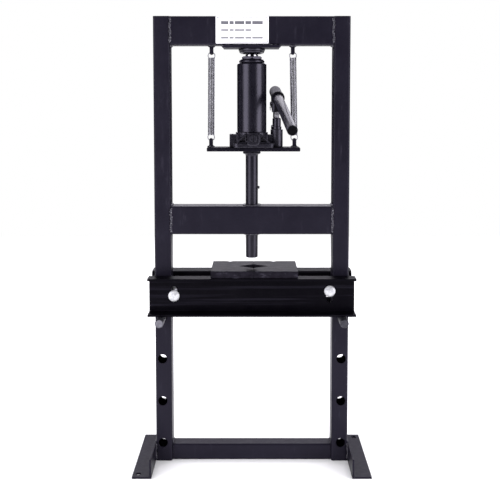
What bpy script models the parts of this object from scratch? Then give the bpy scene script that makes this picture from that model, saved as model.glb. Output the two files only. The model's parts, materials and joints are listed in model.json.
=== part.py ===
"""Six-ton H-frame shop press worked by a bottle jack with its own hand pump.

Metres, +Z up. The frame stands on z = 0, the posts are centred on Y = 0 and the front faces -Y.
"""

import math

import bmesh
import bpy
from mathutils import Matrix, Vector

MM = 0.001
GAP = 0.3 * MM

# Driving dimensions of the welded frame
FRAME_HEIGHT = 950 * MM
POST_WIDTH = 35 * MM
POST_DEPTH = 45 * MM
POST_INNER_X = 171 * MM
TUBE_WALL = 3 * MM
BEAM_HEIGHT = 60 * MM
MIDDLE_BEAM_Z = 492 * MM
BOTTOM_BAR = 35 * MM
PIN_HOLE_RADIUS = 10 * MM
PIN_HOLE_FIRST_Z = 39.5 * MM
PIN_HOLE_PITCH = 92 * MM
PIN_HOLE_COUNT = 4
FOOT_LEG = 40 * MM
FOOT_THICKNESS = 4 * MM
FOOT_LENGTH = 220 * MM
ANCHOR_HOLE_RADIUS = 5.5 * MM

# Bed
BED_LENGTH = 435 * MM
BED_HEIGHT = 80 * MM
BED_Z = 324.8 * MM
CHANNEL_WEB = 4.5 * MM
CHANNEL_FLANGE = 39.5 * MM
CHANNEL_BEND = 7 * MM
BOLT_X = 165.2 * MM
BOLT_RADIUS = 5 * MM
BOLT_HEAD_RADIUS = 12 * MM
LEFT_BOLT_Z = 361.6 * MM
RIGHT_BOLT_Z = 371.9 * MM
SLOT_WIDTH = 14 * MM
SLOT_Z = (347 * MM, 382 * MM)
PIN_RADIUS = 9 * MM
PIN_Y = (-82.5 * MM, 62 * MM)

# Arbor plates
PLATE_THICKNESS = 15 * MM
PLATE_HALF_DEPTH = 58 * MM
PLATE_LEFT_X = -85.5 * MM
PLATE_SEAM_X = 3.6 * MM
PLATE_RIGHT_X = 96.5 * MM
NOTCH_LENGTH = 31 * MM
NOTCH_HALF_OPENING = 20 * MM

# Press head
PRESS_PLATE_X = (-94.5 * MM, 101.6 * MM)
PRESS_PLATE_Z = (668 * MM, 676 * MM)
PRESS_PLATE_HALF_DEPTH = 28 * MM
RAM_RADIUS = 13 * MM
RAM_BOTTOM_Z = 440 * MM
GUIDE_RADIUS = 17 * MM
STOP_SCREW_RADIUS = 3 * MM
STOP_SCREW_Z = 590 * MM
LUG_WIDTH = 8 * MM
LUG_HEIGHT = 19 * MM
LUG_DEPTH = 8 * MM
LUG_HOLE_RADIUS = 3 * MM
UPPER_LUG_X = (-85 * MM, 86.5 * MM)
LOWER_LUG_X = (-86.5 * MM, 90.5 * MM)

# Springs: outer coil, wire and end loop
SPRING_RADIUS = 7.2 * MM
SPRING_WIRE_RADIUS = 1 * MM
SPRING_LOOP_RADIUS = 7 * MM
SPRING_END_LENGTH = 11 * MM

# Bottle jack, standing on the press plate
JACK_FLOOR_Z = PRESS_PLATE_Z[1] + GAP
BASE_TOP_Z = 708 * MM
BASE_SLAB_TOP = 685 * MM
RIB_FRONT_Y = -36 * MM
RIB_BACK_Y = -20 * MM
RIB_POCKET_Y = -27 * MM
LEFT_RIB = [(-37 * MM, 681.3 * MM), (-12 * MM, 681.3 * MM), (-12 * MM, 707 * MM)]
RIGHT_RIB = [(45 * MM, 681.3 * MM), (15 * MM, 707 * MM), (15 * MM, 681.3 * MM)]
LEFT_POCKET = [(-28.7 * MM, 687.7 * MM), (-11.7 * MM, 687.7 * MM), (-13.8 * MM, 701.5 * MM)]
RIGHT_POCKET = [(34 * MM, 687.7 * MM), (20.2 * MM, 701.5 * MM), (17 * MM, 687.7 * MM)]
TANK_RADIUS = 31 * MM
TANK_WALL = 3 * MM
TANK_TOP_Z = 854 * MM
ROD_RADIUS = 13.4 * MM
CYLINDER_RADIUS = 22 * MM
CYLINDER_BORE = 17 * MM
SEAT_Z = (884 * MM, 890 * MM - GAP)
RELEASE_Z = 696 * MM
RELEASE_X = 3 * MM

# Hand pump. Its swing plane is turned a little from the YZ plane
PUMP_X = 52.8 * MM
PUMP_Y = 2 * MM
PUMP_YAW = math.radians(4.5)
PUMP_RADIUS = 9 * MM
PLUNGER_RADIUS = 5 * MM
PLUNGER_PIN_Z = 764 * MM
FULCRUM_BACK = 20 * MM
FULCRUM_Z = 767.5 * MM
LINK_FOOT_Z = 716 * MM
CHEEK_INNER = 5.8 * MM
CHEEK_THICKNESS = 3.6 * MM
CHEEK_DROP = 14 * MM
LINK_PIN_RADIUS = 3 * MM
SLOT_PLAY = 2.4 * MM
HANDLE_PITCH = math.radians(14.2)
SOCKET_RADIUS = 12.5 * MM
SOCKET_AXIS_Z = 786 * MM
HANDLE_RADIUS = 10 * MM
HANDLE_WALL = 1.2 * MM

SEGMENTS = 32
SMALL_SEGMENTS = 20

PAINT = (0.018, 0.017, 0.024, 1)
BED_PAINT = (0.010, 0.010, 0.014, 1)
PLATE_PAINT = (0.060, 0.058, 0.068, 1)
ZINC = (0.75, 0.75, 0.74, 1)
STEEL = (0.42, 0.42, 0.44, 1)
CHROME = (0.60, 0.60, 0.62, 1)
RUBBER = (0.015, 0.015, 0.015, 1)
PAPER = (0.85, 0.85, 0.84, 1)


def clear_scene():
    for existing in list(bpy.data.objects):
        bpy.data.objects.remove(existing, do_unlink=True)


def material(name, colour, roughness, metallic):
    made = bpy.data.materials.new(name)
    made.use_nodes = True
    shader = made.node_tree.nodes["Principled BSDF"]
    shader.inputs["Base Color"].default_value = colour
    shader.inputs["Roughness"].default_value = roughness
    shader.inputs["Metallic"].default_value = metallic
    return made


def empty(name, parent=None, location=(0, 0, 0), rotation=(0, 0, 0)):
    made = bpy.data.objects.new(name, None)
    bpy.context.scene.collection.objects.link(made)
    made.parent = parent
    made.location = location
    made.rotation_euler = rotation
    return made


def add(name, bm, finish=None, parent=None, location=(0, 0, 0), rotation=(0, 0, 0)):
    """Links a bmesh as an object. Without a finish it is a cutter or a guide, which is not a piece."""
    bmesh.ops.remove_doubles(bm, verts=bm.verts, dist=1e-6)
    bmesh.ops.recalc_face_normals(bm, faces=bm.faces)
    mesh = bpy.data.meshes.new(name)
    bm.to_mesh(mesh)
    bm.free()
    mesh.shade_smooth()
    mesh.set_sharp_from_angle(angle=math.radians(35))
    made = bpy.data.objects.new(name, mesh)
    bpy.context.scene.collection.objects.link(made)
    made.parent = parent
    made.location = location
    made.rotation_euler = rotation
    if finish is None:
        made.hide_render = True
        made.display_type = "WIRE"
    else:
        tint, roughness, metallic = finish
        mesh.materials.append(material(name, tint, roughness, metallic))
    return made


def cut(target, *cutters):
    for cutter in cutters:
        step = target.modifiers.new("cut", "BOOLEAN")
        step.operation = "DIFFERENCE"
        step.object = cutter


def join(target, *others):
    for other in others:
        step = target.modifiers.new("join", "BOOLEAN")
        step.operation = "UNION"
        step.object = other


def prism(outline, low, high):
    """A straight solid over a closed outline in XY, from z = low to z = high."""
    bm = bmesh.new()
    corners = [bm.verts.new((x, y, low)) for x, y in outline]
    face = bm.faces.new(corners)
    extruded = bmesh.ops.extrude_face_region(bm, geom=[face])
    top = [v for v in extruded["geom"] if isinstance(v, bmesh.types.BMVert)]
    bmesh.ops.translate(bm, verts=top, vec=(0, 0, high - low))
    return bm


def along_x(bm):
    """Turns a solid drawn as (y, z) outline and x height so that its height runs along +X."""
    bmesh.ops.transform(bm, matrix=Matrix(((0, 0, 1), (1, 0, 0), (0, 1, 0))).to_4x4(), verts=bm.verts)
    return bm


def along_y(bm):
    """Turns a solid drawn as (x, z) outline and y height so that its height runs along +Y."""
    bmesh.ops.transform(bm, matrix=Matrix(((1, 0, 0), (0, 0, 1), (0, 1, 0))).to_4x4(), verts=bm.verts)
    return bm


def block(x, y, z):
    """A box between the two ends given on each axis."""
    return prism([(x[0], y[0]), (x[1], y[0]), (x[1], y[1]), (x[0], y[1])], z[0], z[1])


def arc(centre, radius, start, end, steps):
    """Points on an arc, from start to end in degrees, both ends included."""
    turns = [math.radians(start + (end - start) * i / steps) for i in range(steps + 1)]
    return [(centre[0] + radius * math.cos(a), centre[1] + radius * math.sin(a)) for a in turns]


def rounded_rectangle(x, y, radius, steps=3):
    corners = [
        ((x[1] - radius, y[1] - radius), 0),
        ((x[0] + radius, y[1] - radius), 90),
        ((x[0] + radius, y[0] + radius), 180),
        ((x[1] - radius, y[0] + radius), 270),
    ]
    return [point for centre, start in corners for point in arc(centre, radius, start, start + 90, steps)]


def box_tube(width, depth, low, high, wall=TUBE_WALL, corner=4 * MM):
    """A straight rectangular tube with rounded corners, open at both ends, centred on the Z axis."""
    outer = rounded_rectangle((-width / 2, width / 2), (-depth / 2, depth / 2), corner)
    inner = rounded_rectangle(
        (-width / 2 + wall, width / 2 - wall), (-depth / 2 + wall, depth / 2 - wall), corner - wall / 1.5
    )
    bm = bmesh.new()
    rings = [[bm.verts.new((x, y, z)) for x, y in outline] for z in (low, high) for outline in (outer, inner)]
    for first, second in ((0, 1), (0, 2), (1, 3), (2, 3)):
        count = len(rings[first])
        for i in range(count):
            j = (i + 1) % count
            bm.faces.new((rings[first][i], rings[first][j], rings[second][j], rings[second][i]))
    return bm


def rod(radius, low, high, segments=SMALL_SEGMENTS, centre=(0, 0)):
    """A round bar along Z."""
    bm = bmesh.new()
    bmesh.ops.create_cone(
        bm,
        cap_ends=True,
        segments=segments,
        radius1=radius,
        radius2=radius,
        depth=high - low,
        matrix=Matrix.Translation((centre[0], centre[1], (low + high) / 2)),
    )
    return bm


def turned(profile, segments=SEGMENTS):
    """A solid of revolution about Z from (radius, z) points. It closes itself or ends on the axis."""
    bm = bmesh.new()
    points = [bm.verts.new((r, 0, z)) for r, z in profile]
    edges = [bm.edges.new(pair) for pair in zip(points, points[1:])]
    if profile[0][0] > 0:
        edges.append(bm.edges.new((points[-1], points[0])))
    bmesh.ops.spin(
        bm,
        geom=points + edges,
        cent=(0, 0, 0),
        axis=(0, 0, 1),
        angle=math.tau,
        steps=segments,
        use_merge=True,
    )
    bmesh.ops.remove_doubles(bm, verts=bm.verts, dist=1e-6)
    return bm


def sleeve(outer, inner, low, high, segments=SEGMENTS):
    return turned([(inner, low), (outer, low), (outer, high), (inner, high)], segments)


def ball(radius, centre):
    bm = bmesh.new()
    bmesh.ops.create_icosphere(bm, subdivisions=2, radius=radius, matrix=Matrix.Translation(centre))
    return bm


def hexagon(across_flats, low, high, turn=0.0):
    return prism(arc((0, 0), across_flats / math.sqrt(3), turn, turn + 300, 5), low, high)


def painted(tint=PAINT, roughness=0.45):
    return (tint, roughness, 0.0)


# ---- welded frame -------------------------------------------------------------------------------


def build_post(name, side, root):
    centre_x = side * (POST_INNER_X + POST_WIDTH / 2)
    post = add(name, box_tube(POST_WIDTH, POST_DEPTH, 0, FRAME_HEIGHT), painted(), root, (centre_x, 0, 0))
    hole_shift = side * 2.5 * MM
    for row in range(PIN_HOLE_COUNT):
        z = PIN_HOLE_FIRST_Z + row * PIN_HOLE_PITCH
        drill = along_y(rod(PIN_HOLE_RADIUS, -POST_DEPTH, POST_DEPTH))
        cut(post, add(f"{name}_hole_{row}", drill, None, root, (centre_x + hole_shift, 0, z)))


def build_beams(root):
    half_span = POST_INNER_X - GAP
    lying = (0, math.radians(90), 0)
    top_z = FRAME_HEIGHT - BEAM_HEIGHT / 2
    add(
        "top_beam",
        box_tube(BEAM_HEIGHT, POST_DEPTH, -half_span, half_span),
        painted(),
        root,
        (0, 0, top_z),
        lying,
    )
    middle = add(
        "middle_beam",
        box_tube(BEAM_HEIGHT, POST_DEPTH, -half_span, half_span),
        painted(),
        root,
        (0, 0, MIDDLE_BEAM_Z + BEAM_HEIGHT / 2),
        lying,
    )
    guide_z = (MIDDLE_BEAM_Z - 2 * MM, MIDDLE_BEAM_Z + BEAM_HEIGHT + 2 * MM)
    through = (guide_z[0] - 20 * MM, guide_z[1] + 20 * MM)
    cut(middle, add("guide_hole", rod(GUIDE_RADIUS + GAP, *through, SEGMENTS), None, root))
    guide = add("ram_guide", sleeve(GUIDE_RADIUS, RAM_RADIUS + 0.5 * MM, *guide_z), painted(), root)
    half_keyway = STOP_SCREW_RADIUS + 0.6 * MM
    keyway = block((RAM_RADIUS - 3 * MM, GUIDE_RADIUS + 3 * MM), (-half_keyway, half_keyway), through)
    cut(guide, add("ram_guide_keyway", keyway, None, root))
    add(
        "bottom_bar",
        box_tube(BOTTOM_BAR, BOTTOM_BAR, -half_span, half_span),
        painted(),
        root,
        (0, 0, BOTTOM_BAR / 2),
        lying,
    )


def build_foot(name, side, root):
    """Angle steel along Y: one leg up the post's outer face, one leg flat on the floor."""
    near = POST_INNER_X + POST_WIDTH + GAP
    outline = [
        (near, 0),
        (near + FOOT_LEG, 0),
        (near + FOOT_LEG, FOOT_THICKNESS),
        (near + FOOT_THICKNESS, FOOT_THICKNESS),
        (near + FOOT_THICKNESS, FOOT_LEG),
        (near, FOOT_LEG),
    ]
    shape = along_y(prism([(side * x, z) for x, z in outline], -FOOT_LENGTH / 2, FOOT_LENGTH / 2))
    foot = add(name, shape, painted(), root)
    hole_x = side * (near + FOOT_LEG - 12 * MM)
    hole_y = side * (FOOT_LENGTH / 2 - 15 * MM)
    drill = rod(ANCHOR_HOLE_RADIUS, -5 * MM, 10 * MM, SMALL_SEGMENTS, (hole_x, hole_y))
    cut(foot, add(f"{name}_anchor_hole", drill, None, root))


def lug_outline(z_base, direction):
    """A spring lug seen from the front: a flared weld foot, a neck and a rounded end."""
    half = LUG_WIDTH / 2
    flare = 4 * MM
    body = LUG_HEIGHT - half
    points = [(-half - flare, 0), (half + flare, 0), (half, flare)]
    points += arc((0, body), half, 0, 180, 6)
    points += [(-half, flare)]
    return [(x, z_base + direction * z) for x, z in points]


def build_lug(name, x, z_base, direction, parent):
    lug = add(
        name,
        along_y(prism(lug_outline(z_base, direction), -LUG_DEPTH / 2, LUG_DEPTH / 2)),
        painted(),
        parent,
        (x, 0, 0),
    )
    hole_z = z_base + direction * (LUG_HEIGHT - LUG_WIDTH / 2 - 0.5 * MM)
    drill = along_x(rod(LUG_HOLE_RADIUS, -12 * MM, 12 * MM, 16))
    cut(lug, add(f"{name}_eye", drill, None, parent, (x, 0, hole_z)))
    return hole_z


def build_frame(root):
    build_post("left_post", -1, root)
    build_post("right_post", 1, root)
    build_beams(root)
    build_foot("left_foot", -1, root)
    build_foot("right_foot", 1, root)
    add("jack_seat_plate", block((-60 * MM, 58 * MM), (-30 * MM, 30 * MM), SEAT_Z), painted(), root)
    front = -POST_DEPTH / 2 - GAP
    add(
        "label",
        block((-75 * MM, 35 * MM), (front - 0.5 * MM, front), (893 * MM, 949.5 * MM)),
        painted(PAPER, 0.6),
        root,
    )


# ---- springs ------------------------------------------------------------------------------------


def build_spring(name, low_x, high_x, low_z, high_z, root):
    """A close-wound extension spring: its coil as a round bar with a full loop on each end."""
    run = Vector((high_x - low_x, 0, high_z - low_z))
    length = run.length
    lean = (0, math.atan2(run.x, run.z), 0)
    middle = ((low_x + high_x) / 2, 0, (low_z + high_z) / 2)
    wire = SPRING_WIRE_RADIUS
    half_coil = length / 2 - SPRING_END_LENGTH
    coil = add(name, rod(SPRING_RADIUS, -half_coil, half_coil, 24), (STEEL, 0.35, 0.9), root, middle, lean)
    loop_offset = length / 2 - SPRING_LOOP_RADIUS + 0.4 * MM
    for end, label in ((1, "top"), (-1, "bottom")):
        torus = turned(arc((SPRING_LOOP_RADIUS, 0), wire, 0, 315, 7), 24)
        ring = along_y(torus)
        bmesh.ops.translate(ring, verts=ring.verts, vec=(0, 0, end * loop_offset))
        neck = rod(2 * wire, -3 * MM, 3 * MM, 12, (0, 0))
        bmesh.ops.translate(neck, verts=neck.verts, vec=(0, 0, end * (half_coil + 1.2 * MM)))
        join(
            coil,
            add(f"{name}_{label}_loop", ring, None, root, middle, lean),
            add(f"{name}_{label}_neck", neck, None, root, middle, lean),
        )


# ---- press head and jack ------------------------------------------------------------------------


def build_press_plate(head):
    add(
        "press_plate",
        block(PRESS_PLATE_X, (-PRESS_PLATE_HALF_DEPTH, PRESS_PLATE_HALF_DEPTH), PRESS_PLATE_Z),
        painted(),
        head,
    )
    top = PRESS_PLATE_Z[0] - GAP
    profile = [
        (0, top),
        (18 * MM, top),
        (RAM_RADIUS, top - 8 * MM),
        (RAM_RADIUS, RAM_BOTTOM_Z + 1.2 * MM),
        (RAM_RADIUS - 1.2 * MM, RAM_BOTTOM_Z),
        (0, RAM_BOTTOM_Z),
    ]
    ram = add("ram", turned(profile), painted(BED_PAINT, 0.35), head)
    tapped = along_x(rod(STOP_SCREW_RADIUS + GAP, 6 * MM, 20 * MM, 12))
    cut(ram, add("ram_stop_hole", tapped, None, head, (0, 0, STOP_SCREW_Z)))
    screw = along_x(rod(STOP_SCREW_RADIUS, 6.5 * MM, 16.5 * MM, 12))
    add("ram_stop_screw", screw, painted(), head, (0, 0, STOP_SCREW_Z))


def build_jack_base(head):
    """Cast foot with a round pedestal, a valve boss between two ribs, a pump boss and a link fork."""
    low = JACK_FLOOR_Z
    slab = rounded_rectangle((-38 * MM, 46 * MM), (-38 * MM, 38 * MM), 8 * MM)
    base = add("jack_base", prism(slab, low, BASE_SLAB_TOP), painted(), head)
    pedestal = turned([(0, low + 1 * MM), (34 * MM, low + 1 * MM), (34 * MM, BASE_TOP_Z), (0, BASE_TOP_Z)])
    boss_x = (RELEASE_X - 12 * MM, RELEASE_X + 12 * MM)
    boss = rounded_rectangle(boss_x, (RELEASE_Z - 14 * MM, 707 * MM), 6 * MM)
    pump = rod(13 * MM, low + 0.5 * MM, 713.6 * MM, SEGMENTS, (PUMP_X, PUMP_Y))
    web = block((25 * MM, PUMP_X), (PUMP_Y - 9 * MM, PUMP_Y + 11 * MM), (low + 0.7 * MM, 703 * MM))
    side_block = block((-47 * MM, -28 * MM), (-14 * MM, 14 * MM), (low + 0.3 * MM, 704 * MM))
    fork_outer = CHEEK_INNER + CHEEK_THICKNESS
    fork_back = FULCRUM_BACK
    fork = [(fork_back - 7 * MM, low + 4 * MM), (fork_back + 7 * MM, low + 4 * MM)]
    fork += arc((fork_back, LINK_FOOT_Z), 7 * MM, 0, 180, 8)
    pump_yaw = (0, 0, PUMP_YAW)
    pump_place = (PUMP_X, PUMP_Y, 0)
    join(
        base,
        add("base_pedestal", pedestal, None, head),
        add("base_valve_boss", along_y(prism(boss, -39 * MM, -10 * MM)), None, head),
        add("base_left_rib", along_y(prism(LEFT_RIB, RIB_FRONT_Y, RIB_BACK_Y)), None, head),
        add("base_right_rib", along_y(prism(RIGHT_RIB, RIB_FRONT_Y, RIB_BACK_Y)), None, head),
        add("base_side_block", side_block, None, head),
        add("base_pump_web", web, None, head),
        add("base_pump_boss", pump, None, head),
        add("base_fork", along_x(prism(fork, -fork_outer, fork_outer)), None, head, pump_place, pump_yaw),
    )
    bore_top = 720 * MM
    valve_bore = along_y(rod(5.3 * MM, -45 * MM, -16 * MM, SMALL_SEGMENTS, (RELEASE_X, RELEASE_Z)))
    valve_seat = along_y(rod(3.4 * MM, -17 * MM, -8 * MM, 16, (RELEASE_X, RELEASE_Z)))
    overload_bore = along_x(rod(4.3 * MM, -50 * MM, -38 * MM, 16, (0, 690 * MM)))
    overload_seat = along_x(rod(3.3 * MM, -39 * MM, -31 * MM, 16, (0, 690 * MM)))
    slot = block(
        (-CHEEK_INNER, CHEEK_INNER),
        (fork_back - 9 * MM, fork_back + 9 * MM),
        (LINK_FOOT_Z - 9 * MM, 730 * MM),
    )
    pin_hole = along_x(rod(LINK_PIN_RADIUS + GAP, -15 * MM, 15 * MM, 16, (fork_back, LINK_FOOT_Z)))
    cut(
        base,
        add("base_left_pocket", along_y(prism(LEFT_POCKET, -50 * MM, RIB_POCKET_Y)), None, head),
        add("base_right_pocket", along_y(prism(RIGHT_POCKET, -50 * MM, RIB_POCKET_Y)), None, head),
        add("base_valve_bore", valve_bore, None, head),
        add("base_valve_seat", valve_seat, None, head),
        add("base_overload_bore", overload_bore, None, head),
        add("base_overload_seat", overload_seat, None, head),
        add("base_pump_bore", rod(7 * MM, 700 * MM, bore_top, SMALL_SEGMENTS, (PUMP_X, PUMP_Y)), None, head),
        add("base_ball_bore", rod(4.3 * MM, 684 * MM, 701 * MM, 16, (PUMP_X, PUMP_Y)), None, head),
        add("base_fork_slot", slot, None, head, pump_place, pump_yaw),
        add("base_fork_hole", pin_hole, None, head, pump_place, pump_yaw),
    )
    add("suction_ball", ball(3.2 * MM, (PUMP_X, PUMP_Y, 688 * MM)), (CHROME, 0.1, 1.0), head)
    add("delivery_ball", ball(3.2 * MM, (PUMP_X, PUMP_Y, 695.5 * MM)), (CHROME, 0.1, 1.0), head)
    add("overload_ball", ball(2.6 * MM, (-34.5 * MM, 0, 690 * MM)), (CHROME, 0.1, 1.0), head)
    add(
        "overload_screw",
        along_x(rod(4 * MM, -46.5 * MM, -38.3 * MM, 16, (0, 690 * MM))),
        (STEEL, 0.4, 0.9),
        head,
    )
    add("release_ball", ball(2.8 * MM, (RELEASE_X, -12 * MM, RELEASE_Z)), (CHROME, 0.1, 1.0), head)


def build_tank(head):
    floor = BASE_TOP_Z + GAP
    inner = TANK_RADIUS - TANK_WALL
    shoulder = 3 * MM
    shell = turned(
        [
            (inner, floor),
            (TANK_RADIUS, floor),
            (TANK_RADIUS, TANK_TOP_Z - shoulder),
            (TANK_RADIUS - shoulder, TANK_TOP_Z),
            (inner - 2 * MM, TANK_TOP_Z),
            (inner - 2 * MM, TANK_TOP_Z - 3 * MM),
            (inner, TANK_TOP_Z - 3 * MM),
        ]
    )
    tank = add("oil_tank", shell, painted(), head)
    plug_z = 826 * MM
    drill = along_y(rod(4.5 * MM, 20 * MM, 40 * MM, 16))
    cut(tank, add("filler_hole", drill, None, head, (0, 0, plug_z)))
    stem, cap = 4.2 * MM, 7 * MM
    stopper_profile = [(0, 0), (stem, 0), (stem, cap), (cap, cap), (6 * MM, 10 * MM), (0, 10 * MM)]
    stopper = turned(stopper_profile, SMALL_SEGMENTS)
    add("filler_plug", along_y(stopper), painted(RUBBER, 0.7), head, (0, 24.8 * MM, plug_z))
    add(
        "pressure_cylinder",
        sleeve(CYLINDER_RADIUS, CYLINDER_BORE, floor, TANK_TOP_Z - 1 * MM),
        (STEEL, 0.35, 0.9),
        head,
    )
    ring_low = TANK_TOP_Z + GAP
    ring_high = 861.2 * MM
    add(
        "tank_cap",
        turned(
            [
                (ROD_RADIUS + 3 * MM, ring_low),
                (26.8 * MM, ring_low),
                (26.8 * MM, ring_high - 2.5 * MM),
                (24.5 * MM, ring_high),
                (ROD_RADIUS + 3 * MM, ring_high),
            ]
        ),
        painted(),
        head,
    )
    nut_low = ring_high + GAP
    nut_high = 867.2 * MM
    nut = add("gland_nut", hexagon(40.7 * MM, nut_low, nut_high, 2), painted(), head)
    opening = rod(ROD_RADIUS + 2.6 * MM, nut_low - 5 * MM, nut_high + 5 * MM, SEGMENTS)
    cut(nut, add("gland_nut_bore", opening, None, head))
    add(
        "rod_wiper",
        sleeve(ROD_RADIUS + 2.3 * MM, ROD_RADIUS + 0.3 * MM, nut_low, nut_high - 0.5 * MM),
        painted(RUBBER, 0.6),
        head,
    )


def build_piston(root, saddle_axis):
    """Rod and piston stay with the frame, because the saddle bears on the seat plate."""
    rod_low = 727 * MM
    head_low = 715 * MM
    rod_high = 871.5 * MM
    bore = 9 * MM
    profile = [
        (0, head_low),
        (CYLINDER_BORE - 0.4 * MM, head_low),
        (CYLINDER_BORE - 0.4 * MM, rod_low),
        (ROD_RADIUS, rod_low),
        (ROD_RADIUS, rod_high),
        (bore, rod_high),
        (bore, 770 * MM),
        (0, 770 * MM),
    ]
    add("piston_rod", turned(profile), (CHROME, 0.15, 1.0), root)
    seal_low = rod_low + GAP
    add(
        "piston_seal",
        sleeve(CYLINDER_BORE - 0.4 * MM, ROD_RADIUS + 0.3 * MM, seal_low, seal_low + 4 * MM),
        painted(RUBBER, 0.6),
        root,
    )
    saddle_low = rod_high + 1.2 * MM
    saddle_top = SEAT_Z[0] - GAP
    thread = bore - 0.3 * MM
    add(
        "extension_screw",
        turned([(0, 772 * MM), (thread, 772 * MM), (thread, saddle_low - GAP), (0, saddle_low - GAP)], 24),
        (STEEL, 0.4, 0.9),
        saddle_axis,
    )
    add(
        "saddle",
        turned(
            [
                (0, saddle_low),
                (22 * MM, saddle_low),
                (25.6 * MM, saddle_low + 1.6 * MM),
                (27.4 * MM, saddle_top - 2.5 * MM),
                (28 * MM, saddle_top),
                (0, saddle_top),
            ]
        ),
        painted(),
        saddle_axis,
    )


def build_release_valve(valve):
    screw = turned(
        [
            (0, 0),
            (2.4 * MM, 0),
            (5 * MM, 4 * MM),
            (5 * MM, 22 * MM),
            (8 * MM, 23 * MM),
            (8 * MM, 28 * MM),
            (7 * MM, 29 * MM),
            (0, 29 * MM),
        ],
        24,
    )
    bmesh.ops.transform(screw, matrix=Matrix.Rotation(math.radians(90), 4, "X"), verts=screw.verts)
    stem = add("release_valve", screw, painted(), valve, (0, 16.6 * MM, 0))
    groove = block((-1.5 * MM, 1.5 * MM), (-20 * MM, -9.5 * MM), (-10 * MM, 10 * MM))
    cut(stem, add("release_valve_slot", groove, None, valve))


# ---- hand pump ----------------------------------------------------------------------------------


def build_pump_cylinder(pump):
    low = 713.6 * MM + GAP
    barrel = [
        (PLUNGER_RADIUS + 0.4 * MM, 702 * MM),
        (6.7 * MM, 702 * MM),
        (6.7 * MM, low),
        (8 * MM, low),
        (8 * MM, 719.5 * MM),
        (PUMP_RADIUS, 720.5 * MM),
        (PUMP_RADIUS, 737 * MM),
        (PUMP_RADIUS - 1 * MM, 738 * MM),
        (7 * MM, 738 * MM),
        (7 * MM, 733 * MM),
        (PLUNGER_RADIUS + 0.4 * MM, 733 * MM),
    ]
    add("pump_barrel", turned(barrel, 28), painted(), pump)
    add(
        "pump_seal",
        sleeve(6.8 * MM, PLUNGER_RADIUS + 0.3 * MM, 733 * MM + GAP, 737 * MM, 24),
        painted(RUBBER, 0.6),
        pump,
    )


def build_plunger(plunger):
    """Plunger with a flat-sided rounded eye, the pin through it and the split ring that keeps the pin."""
    eye_z = PLUNGER_PIN_Z
    half = CHEEK_INNER - 0.6 * MM
    stem = add("plunger", rod(PLUNGER_RADIUS, 716 * MM, 748 * MM, 24), (STEEL, 0.3, 0.9), plunger)
    outline = arc((0, 744 * MM), 6.2 * MM, 180, 360, 8) + arc((0, eye_z), 6.2 * MM, 0, 180, 8)
    eye = along_x(prism(outline, -half, half))
    join(stem, add("plunger_eye", eye, None, plunger))
    bore = along_x(rod(LINK_PIN_RADIUS + GAP, -12 * MM, 12 * MM, 16, (0, eye_z)))
    cut(stem, add("plunger_bore", bore, None, plunger))
    outer = CHEEK_INNER + CHEEK_THICKNESS
    profile = [
        (0, -outer - 3.2 * MM),
        (4.6 * MM, -outer - 3.2 * MM),
        (4.6 * MM, -outer - 0.6 * MM),
        (LINK_PIN_RADIUS, -outer - 0.6 * MM),
        (LINK_PIN_RADIUS, outer + 3 * MM),
        (0, outer + 3 * MM),
    ]
    pin = turned(profile, 16)
    bmesh.ops.transform(pin, matrix=Matrix.Rotation(math.radians(90), 4, "Y"), verts=pin.verts)
    add("plunger_pin", pin, painted(), plunger, (0, 0, eye_z))
    ring = turned(arc((4 * MM, 0), 0.6 * MM, 0, 300, 5), 20)
    ring_x = -outer - 4.4 * MM
    bmesh.ops.transform(ring, matrix=Matrix.Rotation(math.radians(78), 4, "Y"), verts=ring.verts)
    add("pin_split_ring", ring, (STEEL, 0.3, 0.9), plunger, (ring_x, 0, eye_z - 6 * MM))


def build_link(link):
    """A flat bar with an eye at each end; its origin is the lower pivot."""
    half = CHEEK_INNER - 0.6 * MM
    rise = FULCRUM_Z - LINK_FOOT_Z
    outline = arc((0, 0), 6 * MM, 180, 360, 8) + arc((0, rise), 5.5 * MM, 0, 180, 8)
    bar = add("pump_link", along_x(prism(outline, -half, half)), painted(), link)
    for index, z in enumerate((0, rise)):
        bore = along_x(rod(LINK_PIN_RADIUS + GAP, -12 * MM, 12 * MM, 16, (0, z)))
        cut(bar, add(f"pump_link_bore_{index}", bore, None, link))


def plain_pin(name, parent, location):
    half = CHEEK_INNER + CHEEK_THICKNESS - 0.1 * MM
    add(name, along_x(rod(LINK_PIN_RADIUS, -half, half, 16)), (STEEL, 0.35, 0.9), parent, location)


def headed_pin(name, parent, location):
    outer = CHEEK_INNER + CHEEK_THICKNESS
    profile = [
        (0, -outer - 3 * MM),
        (4.4 * MM, -outer - 3 * MM),
        (4.4 * MM, -outer - 0.4 * MM),
        (LINK_PIN_RADIUS, -outer - 0.4 * MM),
        (LINK_PIN_RADIUS, outer + 2 * MM),
        (0, outer + 2 * MM),
    ]
    pin = turned(profile, 16)
    bmesh.ops.transform(pin, matrix=Matrix.Rotation(math.radians(90), 4, "Y"), verts=pin.verts)
    add(name, pin, (STEEL, 0.35, 0.9), parent, location)


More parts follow.
